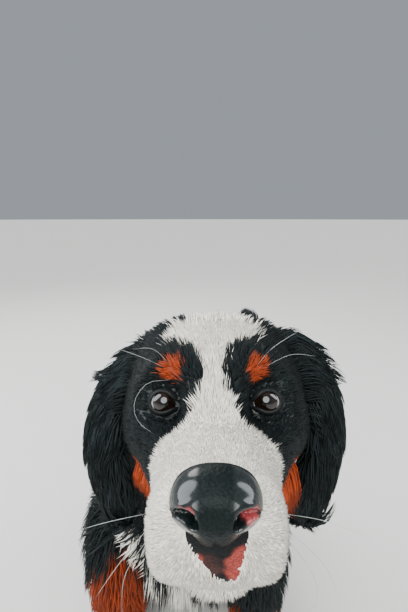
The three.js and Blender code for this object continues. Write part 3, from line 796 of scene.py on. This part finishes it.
def lid_edge(way, turn):
    """The edge of the lids in the eye's frame, and the way out from it."""
    wide, above, below = LID_OPENING
    cos, sin = np.cos(turn), np.sin(turn)
    tall = np.where(sin > 0, above, below)
    corner = np.maximum(-way * cos, 0) ** 8
    x = wide * cos - way * LID_CORNER * corner
    z = tall * sin * np.abs(sin) ** LID_FLATNESS - LID_CORNER_DROP * corner
    out = unit(np.stack([cos * tall, sin * wide], 1))
    return x, z, out


for side, way in SIDES.items():
    lids = bmesh.new()
    turn = np.arange(LID_HOOPS) / LID_HOOPS * 2 * np.pi
    edge_x, edge_z, edge_out = lid_edge(way, turn)
    hoops = []
    for offset, height in LID_SECTION:
        x = edge_x + edge_out[:, 0] * offset
        z = edge_z + edge_out[:, 1] * offset
        y = round_eye(np.hypot(x, z), EYE_RADIUS + height)
        spots = packed(out_of(EYES[side], np.stack([x, y, z], 1)))
        hoop = bmesh.ops.create_circle(lids, cap_ends=False, segments=LID_HOOPS, radius=1)["verts"]
        for vert, spot in zip(hoop, spots.tolist()):
            vert.co = spot
        hoops.append(list({edge for vert in hoop for edge in vert.link_edges}))
    for hoop, following in zip(hoops, hoops[1:] + hoops[:1]):
        bmesh.ops.bridge_loops(lids, edges=hoop + following)
    finished_piece(f"eyelids_{side}", lids, LID_BLACK, lid_finish)


# Nose: the bare, wet, pebbled leather at the tip of the muzzle. It is one closed pad with a comma of a
# nostril pressed into each side, a groove down its middle, and on this pup two patches that are still pink.
NOSE = Form([
    [0, -98, -27, 10, 9.5, 12],
    [0, -92, -24, 16.5, 14, 15.5],
    [0, -84, -21, 19.2, 16.5, 17.5],
    [0, -73, -18, 17, 14, 14],
], caps=(0.34, 0.2), square=2.3, frame_of=HEAD, bumps=[
    ((16, -90, -36), (8, 16, 8), (-4.5, 0, 2.5)),  # drawn in below the nostrils
])
NOSTRIL = [  # along the comma: its place, its radius and its depth
    [8.2, -97, -22.6, 2.0, 5],
    [9.6, -97, -20, 2.3, 6],
    [12.2, -95, -19, 1.8, 4],
    [15.6, -91, -20.6, 1.1, 2.2],
    [18.2, -85, -24.5, 0.8, 1.2],
]
NOSE_BLACK = np.array([0.004, 0.008, 0.0085])
NOSE_PINK = np.array([0.36, 0.055, 0.06])
NOSE_PINK_SPOTS = [((13.8, -92, -20), (4.2, 9, 4.4)), ((-10.5, -96, -17.4), (3, 6, 1.4))]
NOSE_HEART = np.array([0, -80, -24])


def nose_shape(ball):
    """The pad over a unit ball: pressed in along the nostrils, with a rim round each, and grooved."""
    local = into(HEAD, under_coat(NOSE)(ball))
    outwards = unit(local - NOSE_HEART)
    x, y, z = local.T
    moved = np.zeros_like(local)
    line = drawn(NOSTRIL, np.linspace(0, 1, 28))
    for way in (1, -1):
        spots = line[:, :3] * [way, 1, 1]
        places = local[[np.linalg.norm(local - spot, axis=1).argmin() for spot in spots]]
        apart = np.linalg.norm(local[:, None] - places[None], axis=2)
        pressed = (np.exp(-((apart / line[:, 3]) ** 4)) * line[:, 4]).max(1)
        rim = (np.exp(-(((apart - 1.9 * line[:, 3]) / (0.8 * line[:, 3])) ** 2)) * line[:, 3] / 3).max(1)
        heart = np.array([way * 5, -80, -22])
        moved += unit(heart - local) * pressed[:, None] + outwards * (0.8 * rim * (pressed < 0.5))[:, None]
    moved[:, 1] += 1.5 * np.exp(-((x / 1.3) ** 2)) * eased(-z, 25, 34) * (y < -84)
    return out_of(HEAD, local + moved)


def nose_colours(points):
    """Black leather with its pink spots, painted shade in the nostrils, and how wet it is as the fourth
    value.
    """
    local = into(HEAD, points)
    shift = 0.9 * wander(local, 7, 61)
    pink = np.maximum(*[inside(local, *spot) for spot in NOSE_PINK_SPOTS])
    pink = eased(pink + shift, -0.6, 1.2)[:, None]
    # Painted shade: the leather is painted darker deep in the nostrils and towards the underside of the pad.
    clear_of_nostril_shade = eased(np.linalg.norm(local - NOSE_HEART, axis=1), 6, 13)[:, None]
    low = eased(-local[:, 2], 26, 33)[:, None]
    aside = np.abs(local[:, 0])
    wet = (0.02 + 0.98 * eased(aside, 6, 8.5) * (1 - 0.6 * eased(aside, 14, 18)))[:, None] * (1 - 0.9 * low)
    colours = (NOSE_BLACK + (NOSE_PINK - NOSE_BLACK) * pink) * (0.2 + 0.8 * clear_of_nostril_shade) * (1 - 0.5 * low)
    return np.hstack([colours, wet])


nose_finish = bare_skin("nose_leather", 0.5, 1.0, 820, 0.0003)
pad = bmesh.new()
add_ball(pad, unit_ball(176, 128), nose_shape)
nose = finished_piece("nose_pad", pad, nose_colours, nose_finish)
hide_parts("nose")


# Lips: the bare black wedge under the nose where the upper lips meet, pink in two places, and the dark edges
# of the lips that run back from it along the mouth.
LIP_WEDGE = Form([
    [0.3, -84, -28, 13, 6, 4],
    [0.4, -84, -35, 13.5, 6, 4.5],
    [2, -83, -42, 12, 6, 4.5],
    [3.5, -82, -47.5, 10.5, 6, 4],
    [4.5, -81.5, -50.5, 7, 5, 4],
    [4, -79, -54, 3, 4, 3],
], caps=(0.1, 0.2), frame_of=HEAD)
LIP_EDGE = [
    [1, -76, -57, 0.9, 1.1, 1.1],
    [11, -74, -60, 1.2, 1.4, 1.4],
    [21, -64, -63, 1.3, 1.5, 1.5],
    [27.6, -48, -64.8, 1.2, 1.3, 1.3],
    [31.6, -34, -62.8, 0.9, 1, 1],
    [33.6, -24, -60.6, 0.5, 0.6, 0.6],
]
LIP_BLACK = np.array([0.004, 0.005, 0.006])
LIP_PINK = np.array([0.32, 0.05, 0.04])
LIP_BROWN = np.array([0.045, 0.014, 0.012])
LIP_PINK_SPOTS = [((9.5, -84, -45.5), (6.5, 20, 9)), ((-7.8, -86, -44.5), (2.2, 20, 6))]
LIP_BROWN_SPOT = (-3.5, -84, -47), (5, 20, 8)


def lip_colours(points):
    """Black lips with their pink and brown spots."""
    local = into(HEAD, points)
    shift = 0.8 * wander(local, 8, 62)
    pink = np.maximum(*[inside(local, *spot) for spot in LIP_PINK_SPOTS])
    brown = eased(inside(local, *LIP_BROWN_SPOT) + shift, -0.6, 2)[:, None]
    colours = LIP_BLACK * (1 - brown) + LIP_BROWN * brown
    return colours + (LIP_PINK - colours) * eased(pink + shift, -0.6, 1.4)[:, None]


lip_finish = bare_skin("lip_skin", 0.5, 0.12, 1100, 0.0003)
lips = bmesh.new()
add_ball(lips, unit_ball(96, 64), under_coat(LIP_WEDGE))
long_ball = unit_ball(20, 64)
for way in (1, -1):
    stations = np.array(LIP_EDGE) * [way, 1, 1, 1, 1, 1]
    edge_line = Form(stations, side=(0, 0, 1), caps=(0.05, 0.1), frame_of=HEAD)
    add_ball(lips, long_ball, under_coat(edge_line))
finished_piece("lips", lips, lip_colours, lip_finish)


# Claws: sixteen blunt, dark horns that curve down from the toes to the ground. Each is a form along a short
# line, with its root inside the toe, and all of them are one joined mesh.
CLAW_LINE = np.array([
    [0, -9, 16, 3.4, 3.6, 3.6],
    [0, -14, 13.5, 3.1, 3.2, 3.2],
    [0, -18.5, 9.5, 2.3, 2.4, 2.4],
    [0, -21.5, 4, 1.1, 1.2, 1.2],
])
CLAW_BLACK = np.array([0.020, 0.018, 0.017])
claw_finish = bare_skin("claw_horn", 0.3, 0.2, 600, 0.0002)
claws = bmesh.new()
claw_ball = unit_ball(20, 20)
for (x, y, _), offset in toe_places():
    line = CLAW_LINE + [x + 0.08 * offset, y, 0, 0, 0, 0]
    add_ball(claws, claw_ball, under_coat(Form(line, caps=(0.1, 0.15))))
finished_piece("claws", claws, CLAW_BLACK, claw_finish)


# Coat: tufts of hair in flat, tapered strands, each a closed sliver of three sides that grows from the skin,
# rises through the coat's depth and lies back along the body. Strands that stand together draw together
# towards their tips, as damp or brushed hair does. All strands of one region are one joined mesh.
STRAND_SHARES = [0, 0.25, 0.6, 0.85, 1]
STRAND_WIDTHS = [0.6, 1, 0.85, 0.5, 0]
RIDGE = 0.42
ROOT_DEPTH = 1.0
BAKE_PATCH = 0.003
FLOOR_HEIGHT = 0.8
SHORTEST = 2
LENGTH_FOR_DEPTH = 1.9


def search_tree(points):
    """A tree that finds the nearest of its points."""
    tree = KDTree(len(points))
    for number, point in enumerate(points):
        tree.insert(Vector(point), number)
    tree.balance()
    return tree


def closest(tree, points):
    """For each point, the number of the nearest one in the tree."""
    return np.array([tree.find(Vector(point))[1] for point in points])


hide_tree = search_tree(hide_points)


def level(directions, normals):
    """Directions laid flat on the surface."""
    return unit(directions - normals * (directions * normals).sum(-1, keepdims=True))


def spread_roots(on, count, draw):
    """Roots spread evenly over the triangles that on picks: triangle numbers and shares of their corners."""
    picked = np.flatnonzero(on)
    a, b, c = (hide_points[TRIANGLES[picked, k]] for k in range(3))
    edges = np.cumsum(np.linalg.norm(np.cross(b - a, c - a), axis=1))
    spots = (np.arange(count) + draw.random(count)) / count * edges[-1]
    triangle = picked[np.minimum(np.searchsorted(edges, spots), len(picked) - 1)]
    s, t = draw.random((2, count))
    over = s + t > 1
    s[over], t[over] = 1 - s[over], 1 - t[over]
    return triangle, np.stack([1 - s - t, s, t], 1)


def combed(on, count, rings, stretch, wave, waves, splay, room, lift, fall, draw):
    """Paths of strands over the skin, from root to tip, and the skin's normal along each. With room, no
    strand ends further than that beyond the end of its form's line. With fall, it leaves the skin that
    way."""
    triangle, mix = spread_roots(on, count, draw)
    corners = TRIANGLES[triangle]
    root = (hide_points[corners] * mix[:, :, None]).sum(1)
    normal = unit((hide_normals[corners] * mix[:, :, None]).sum(1))
    lie = level((hide_lie[corners] * mix[:, :, None]).sum(1), normal)
    coat_depth = (hide_depth[corners] * mix).sum(1)
    depth = lift * coat_depth * draw.uniform(0.6, 1.05, count)
    turn = draw.normal(0, splay, count)[:, None]
    lie = lie * np.cos(turn) + np.cross(normal, lie) * np.sin(turn)
    length = (SHORTEST + LENGTH_FOR_DEPTH * coat_depth) * stretch * draw.uniform(0.75, 1.15, count)
    phase = draw.uniform(0, 2 * np.pi, count)
    on_skin = root.copy()
    paths = [root - normal * ROOT_DEPTH]
    normals = [normal]
    for k in range(1, rings + 1):
        share = k / rings
        heading = lie if fall is None else unit(lie * (1 - share) + np.array(fall) * (0.4 + share))
        on_skin = on_skin + heading * (length / rings)[:, None]
        if rings > 2 and fall is None:
            near = closest(hide_tree, on_skin)
            normal = unit(normal + 1.5 * hide_normals[near])
            gap = ((on_skin - hide_points[near]) * normal).sum(1)
            on_skin = on_skin - normal * np.clip(gap, -4, 4)[:, None]
            lie = level(lie + 0.5 * hide_lie[near], normal)
        rise = 1 - (1 - share) ** 1.8
        sway = wave * share * np.sin(phase + 2 * np.pi * waves * share)
        paths.append(on_skin + normal * (depth * rise)[:, None] + np.cross(normal, lie) * sway[:, None])
        normals.append(normal)
    paths = np.stack(paths, 1)
    paths[:, 1:-1] = 0.5 * paths[:, 1:-1] + 0.25 * (paths[:, :-2] + paths[:, 2:])
    if room is not None:
        form = list(FORMS.values())[hide_form[corners[0, 0]]]
        along = form.turned(form.lines(np.array([1.0]))[1])[0]
        beyond = (paths - form.placed(form.stations[-1, :3])) @ along
        past = np.maximum(beyond - room * draw.uniform(0.2, 1, (count, 1)), 0)
        paths = paths - past[:, :, None] * along
    paths[:, :, 2] = np.maximum(paths[:, :, 2], FLOOR_HEIGHT + 0.5 * draw.random((count, 1)))
    return triangle, mix, paths, np.stack(normals, 1)


def clumped(paths, size, pull, draw):
    """Draws strands towards one of every size of them, more towards the tips."""
    guides = np.sort(draw.permutation(len(paths))[: max(1, len(paths) // size)])
    own_guide = guides[closest(search_tree(paths[guides, 0]), paths[:, 0])]
    shares = np.linspace(0, 1, paths.shape[1])[None, :, None]
    strength = pull * draw.uniform(0.6, 1.1, len(paths))[:, None, None] * shares**1.3
    return paths + (paths[own_guide] - paths) * np.clip(strength, 0, 0.95)


def strand_mesh(name, paths, normals, widths, colours, places):
    """A mesh of closed slivers along the paths, with their colours and their patches of the baking map."""
    count, spots, _ = paths.shape
    rings = spots - 1
    shares = np.linspace(0, 1, spots)
    along = unit(np.gradient(paths, axis=1))
    across = unit(np.cross(along, normals))
    outward = np.cross(across, along)
    half = widths[:, None, None] * np.interp(shares, STRAND_SHARES, STRAND_WIDTHS)[None, :, None] / 2
    left = paths - across * half
    ridge = paths + outward * half * 2 * RIDGE
    right = paths + across * half
    rows = np.stack([left, ridge, right], 2)[:, :rings].reshape(count, rings * 3, 3)
    points = np.concatenate([rows, paths[:, rings:]], 1).reshape(-1, 3)
    each = rings * 3 + 1
    quads = [(3 * k + i, 3 * k + (i + 1) % 3, 3 * k + 3 + (i + 1) % 3, 3 * k + 3 + i)
             for k in range(rings - 1) for i in range(3)]
    last = 3 * (rings - 1)
    tips = [(last + i, last + (i + 1) % 3, last + 3) for i in range(3)]
    corners = np.array([0, 2, 1, *[v for face in quads for v in face], *[v for face in tips for v in face]])
    sizes = np.array([3, *[4] * len(quads), *[3] * 3])
    loops = (np.arange(count)[:, None] * each + corners).ravel().astype(np.int32)
    sizes = np.tile(sizes, count)
    mesh = bpy.data.meshes.new(name)
    mesh.vertices.add(len(points))
    mesh.vertices.foreach_set("co", packed(points).astype(np.float32).ravel())
    mesh.loops.add(len(loops))
    mesh.loops.foreach_set("vertex_index", loops)
    mesh.polygons.add(len(sizes))
    mesh.polygons.foreach_set("loop_start", np.concatenate([[0], np.cumsum(sizes)[:-1]]).astype(np.int32))
    mesh.update(calc_edges=True)
    along_share = np.append(np.repeat(shares[:rings], 3), 1)
    across_share = np.append(np.tile([0, 0.5, 1], rings), 0.5)
    # Painted shade: each strand is painted darker towards its root, less so where the hair is pale.
    shade = np.interp(along_share, [0, 0.5], [0.6, 1.0])[None, :, None]
    shade = shade + (1 - shade) * colours.mean(1)[:, None, None]
    painted(mesh, "coat", (colours[:, None] * shade).reshape(-1, 3))
    spread = BAKE_PATCH * np.stack([across_share, along_share], 1)
    patches = (places[:, None] + spread[None]).reshape(-1, 2).astype(np.float32)
    mesh.uv_layers.new(name="OFBake").data.foreach_set("uv", patches[loops].ravel())
    return mesh


def bake_places(triangle, mix, forms_here):
    """Where roots lie on an unwrap of the skin: one column for each form, the angle across, the line up."""
    corners = TRIANGLES[triangle]
    angle = hide_angle[corners[:, 0]]
    share = (hide_share[corners] * mix).sum(1)
    share = np.where(np.ptp(hide_share[corners], axis=1) > 0.1, hide_share[corners[:, 0]], share)
    column = np.searchsorted(forms_here, hide_form[corners[:, 0]])
    wiggle = 0.01 * (mix[:, 1] - mix[:, 2])
    across = np.clip((angle / (2 * np.pi)) % 1 + wiggle, 0, 1)
    wide = 1 / len(forms_here)
    return np.stack([(column + 0.01 + 0.97 * across) * wide, 0.005 + 0.985 * share], 1)


def coat_piece(name, on, count, rings, width, stretch=1.0, wave=0.0, waves=1.0, splay=0.12, clump=(10, 0.5),
               jitter=1.0, room=None, lift=1.0, fall=None, colour=None, seed=1):
    """One region of the coat, where on picks the triangles that carry it."""
    draw = np.random.default_rng(seed)
    triangle, mix, paths, normals = combed(on, count, rings, stretch, wave, waves, splay, room, lift, fall,
                                           draw)
    paths = clumped(paths, *clump, draw)
    stray = jitter * np.where(draw.random((count, 1)) < 0.1, 3, 0.9)
    marked = paths[:, max(1, rings // 2) if fall is None else 0] + draw.normal(0, 1, (count, 3)) * stray
    colours = coat_colours(marked, 0.4) if colour is None else np.tile(colour, (count, 1))
    paleness = colours.mean(1, keepdims=True)
    unlike = 0.03 + 0.3 * np.exp(-12 * paleness)
    colours = colours * np.exp(unlike * draw.normal(0, 1, (count, 1)).clip(-2.5, 2.5))
    colours = colours * np.exp(0.6 * unlike * wander(marked, 22, 8)[:, None])
    widths = width * draw.uniform(0.7, 1.3, count)
    places = bake_places(triangle, mix, np.unique(hide_form[TRIANGLES[on][:, 0]]))
    fitted(in_scene(name, strand_mesh(name, paths, normals, widths, colours, places)), coat_finish)


def bare_lip(local):
    """Millimetres inside the wedge below the nose where no hair grows."""
    x, y, z = local.T
    middle = np.interp(z, [-55, -48, -42, -36], [4.5, 3.5, 2, 1])
    wedge = np.interp(z, [-49.5, -48, -46, -43, -39, -32], [-2, 2, 6, 8, 9, 10]) - np.abs(x - middle)
    return np.where((y < -70) & (z < -30) & (z > -60), wedge, -20)


coat_finish, tree, shader = new_finish("coat", {"Specular IOR Level": 0.16})
places = add_node(tree, "TexCoord").outputs["Object"]
locks = add_node(tree, "TexNoise", {"Vector": places, "Scale": 160, "Detail": 4}).outputs["Fac"]
streaked = ranged(tree, locks, (0.3, 0.7), (0.9, 1.08))
hair_tint = shaded(tree, painted_colour(tree, "coat").outputs["Color"], streaked)
tree.links.new(hair_tint, shader.inputs["Base Color"])
tree.links.new(ranged(tree, locks, (0.3, 0.7), (0.45, 0.8)), shader.inputs["Roughness"])

NOSE_BED = (0, -86, -23), (16.5, 14, 14.5)
TUFT_SPOT = (26, 62, 46), (7, 8, 14)
MUZZLE_BACK = -22
FACE_BACK = 30
triangle_form = FORM_NAMES[hide_form[TRIANGLES[:, 0]]]
triangle_middle = hide_points[TRIANGLES].mean(1)
triangle_local = into(HEAD, triangle_middle)
on_head = np.isin(triangle_form, ("skull", "jaw"))
on_torso = triangle_form == "torso"
grows = (bare_lip(triangle_local) < 0) & (inside(triangle_local, *NOSE_BED) < 0)
for frame_of in EYES.values():
    p = into(frame_of, triangle_middle)
    opening = np.hypot(p[:, 0] / (OPENING[0] + 0.8), p[:, 2] / (OPENING[1] + 1)) < 1
    grows &= ~(opening & (p[:, 1] < 0) & (p[:, 1] > -30))

front = triangle_local[:, 1]
for seed, (side, way) in enumerate(SIDES.items(), 11):
    half_head = grows & on_head & (way * triangle_local[:, 0] > 0)
    coat_piece(f"coat_muzzle_{side}", half_head & (front < MUZZLE_BACK), 10300, 2, 0.65, jitter=0.6,
               splay=0.1, clump=(8, 0.3), seed=seed)
    coat_piece(f"coat_face_{side}", half_head & (front >= MUZZLE_BACK) & (front < FACE_BACK), 10700, 2, 0.7,
               wave=0.4, jitter=1.2, splay=0.18, clump=(12, 0.6), seed=seed + 2)
coat_piece("coat_crown", grows & on_head & (front >= FACE_BACK), 8000, 3, 1.1, wave=0.8, jitter=1.4,
           lift=1.35, clump=(12, 0.5), seed=15)
tuft = inside(triangle_local, *TUFT_SPOT) > 0
coat_piece("coat_tuft", tuft, 260, 3, 1.0, 0.8, wave=1.5, lift=1.1, fall=(-0.1, 0.3, 0.4), splay=0.4,
           clump=(130, 0.7), colour=BLACK, seed=16)

# Rust hair of the cheeks, that hangs free below the corner of the mouth, longer on the left.
for way, side, hang, seed in ((1, "left", 2.8, 17), (-1, "right", 1.6, 18)):
    x, y, z = (triangle_local * [way, 1, 1]).T
    jowl = on_head & (x > 34) & (y > -24) & (y < 28) & (z < -40) & (z > -70)
    coat_piece(f"coat_cheek_{side}", jowl, 1500, 3, 1.1, hang, wave=2.5, fall=(0.07 * way, -0.38, -1.15),
               lift=0.9, splay=0.3, clump=(24, 0.85), colour=RUST, seed=seed)

for seed, (side, way) in enumerate(SIDES.items(), 21):
    on_ear = triangle_form == f"ear_{side}"
    share = hide_share[TRIANGLES[:, 0]]
    coat_piece(f"coat_wisps_{side}", on_ear & (share > 0.02) & (share < 0.35), 420, 4, 0.9, 1.25, wave=4,
               waves=0.8, fall=(0.8 * way, 0.1, -0.5), splay=0.6, clump=(32, 0.85), seed=seed + 2)
    coat_piece(f"coat_ear_{side}", on_ear, 4800, 4, 1.4, 2.0, wave=3.5, waves=1.8, splay=0.25,
               clump=(22, 0.85), room=10, seed=seed)
coat_piece("coat_neck", triangle_form == "neck", 8200, 3, 1.3, 1.25, wave=2, jitter=1.6, clump=(11, 0.6),
           seed=31)
throat = ((triangle_form == "neck") | on_torso) & (triangle_middle[:, 1] < -30)
throat &= (triangle_middle[:, 2] < 400) & (triangle_middle[:, 0] > -30) & (triangle_middle[:, 0] < 78)
coat_piece("coat_ruff", throat, 2900, 3, 1.3, 0.8, wave=2.5, fall=(0, -0.35, -0.9), lift=0.8, jitter=1.6,
           clump=(11, 0.6), seed=36)
torso_front = triangle_middle[:, 1] < 60
coat_piece("coat_chest", on_torso & torso_front, 5400, 3, 2.2, 1.1, wave=2, jitter=1.5,
           clump=(14, 0.7), seed=32)
coat_piece("coat_back", on_torso & ~torso_front, 6700, 3, 2.3, wave=2, jitter=2.0, clump=(14, 0.7), seed=33)
for seed, side in enumerate(SIDES, 41):
    on_leg = np.isin(triangle_form, (f"front_leg_{side}", f"front_paw_{side}"))
    coat_piece(f"coat_front_leg_{side}", on_leg, 4100, 3, 1.7, wave=0.8, jitter=2, clump=(10, 0.5), seed=seed)
    coat_piece(f"coat_thigh_{side}", triangle_form == f"thigh_{side}", 2000, 3, 2.4, wave=1.6,
               clump=(14, 0.7), seed=seed + 2)
    on_foot = np.isin(triangle_form, (f"pastern_{side}", f"hind_paw_{side}"))
    coat_piece(f"coat_hind_foot_{side}", on_foot, 3600, 2, 1.5, jitter=2, seed=seed + 4)
coat_piece("coat_tail", triangle_form == "tail", 2300, 3, 2.2, 1.3, wave=2, clump=(14, 0.7), room=2, seed=51)


# Whiskers: single stiff hairs, pale, that stand out of the sides of the muzzle and over the eyes. Each is a
# thin, tapered strand along a drawn line, as the coat's are.
WHISKERS = [  # root, middle and tip on the dog's left, in the head's frame
    [(33, -52, -42), (54, -54, -46), (76, -46, -54)],
    [(30, -64, -40), (46, -66, -58), (56, -54, -84)],
    [(32, -50, -52), (48, -46, -78), (52, -30, -112)],
    [(31, -15, 25), (44, -24, 33), (60, -22, 36)],
    [(25, -18, 26), (32, -30, 36), (44, -34, 42)],
]
LOOP_WHISKER = [(-26, -17, 17), (-38, -22, 16), (-45, -24, 6), (-43, -24, -5), (-33, -26, -12)]
WHISKER_SPOTS = 12
WHISKER_WIDTH = 0.24
WHISKER_WHITE = np.array([0.5, 0.52, 0.5])

draw = np.random.default_rng(71)
shares = np.linspace(0, 1, WHISKER_SPOTS)
whisker_paths = [drawn(LOOP_WHISKER, shares)]
for line in WHISKERS:
    for way in (1, -1):
        stray = draw.normal(0, 1, (3, 3)) * [[0.6], [1.5], [3]]
        whisker_paths.append(drawn((np.array(line) + stray) * [way, 1, 1], shares))
whisker_paths = np.array(whisker_paths)
count = len(whisker_paths)
outwards = unit(whisker_paths - [0, 20, -20])
whisker_places = np.stack([np.arange(count) / count, np.full(count, 0.5)], 1)
whisker_mesh = strand_mesh("whiskers", out_of(HEAD, whisker_paths), outwards @ HEAD[:3, :3].T,
                           np.full(count, WHISKER_WIDTH), np.tile(WHISKER_WHITE, (count, 1)), whisker_places)
fitted(in_scene("whiskers", whisker_mesh), coat_finish)


# Studio: a plain pale floor under soft daylight, which comes from the sky before the dog and from windows at
# both sides and behind. The camera stands just over the dog's nose and looks down at it.
SENSOR_HEIGHT = 24
PICTURE_HEIGHT = 612
FOCAL_LENGTH = 406  # in the picture's own pixels
CAMERA_DIP = 12.6
ground = bmesh.new()
bmesh.ops.create_circle(ground, cap_ends=True, segments=96, radius=60)
floor = in_scene("floor", made(ground, "floor"))
floor_finish, _, _ = new_finish("pale_floor", {"Base Color": (0.62, 0.61, 0.59, 1), "Roughness": 0.8})
floor.data.materials.append(floor_finish)

world = bpy.data.worlds.new("daylight")
world.use_nodes = True
world.node_tree.nodes["Background"].inputs["Color"].default_value = (0.66, 0.72, 0.78, 1)
world.node_tree.nodes["Background"].inputs["Strength"].default_value = 0.5
bpy.context.scene.world = world


def softbox(name, at, towards, wide, tall, power, colour):
    """A large soft lamp that faces a place."""
    light = bpy.data.lights.new(name, "AREA")
    light.shape = "ELLIPSE"
    light.size = wide
    light.size_y = tall
    light.energy = power
    light.color = colour
    lamp = in_scene(name, light)
    lamp.location = at
    lamp.rotation_euler = (Vector(towards) - Vector(at)).to_track_quat("-Z", "Y").to_euler()


head_place = packed(EYE_MIDDLE)
softbox("window_left", head_place + [-1.6, 0.25, 1.0], head_place, 1.1, 2.2, 42, (0.88, 0.94, 1.0))
softbox("window_right", head_place + [1.6, 0.25, 1.0], head_place, 0.6, 1.8, 18, (0.92, 0.96, 1.0))
softbox("window_back", head_place + [-0.9, 1.9, 1.6], head_place, 1.6, 1.6, 40, (1.0, 0.98, 0.95))

sky = bpy.data.lights.new("sky", "SUN")
sky.angle = math.radians(60)
sky.energy = 5.7
sky.color = (0.97, 1.0, 0.97)
sky_lamp = in_scene("sky", sky)
sky_lamp.rotation_euler = Vector((-0.06, -0.72, 0.69)).to_track_quat("Z", "Y").to_euler()

camera = bpy.data.cameras.new("camera")
camera.sensor_fit = "VERTICAL"
camera.sensor_height = SENSOR_HEIGHT
camera.lens = SENSOR_HEIGHT * FOCAL_LENGTH / PICTURE_HEIGHT
camera.clip_start = 0.005
camera_object = in_scene("camera", camera)
camera_object.location = Vector(packed(LOOKED_AT))
camera_object.rotation_euler = (math.radians(90 - CAMERA_DIP), 0, 0)
bpy.context.scene.camera = camera_object
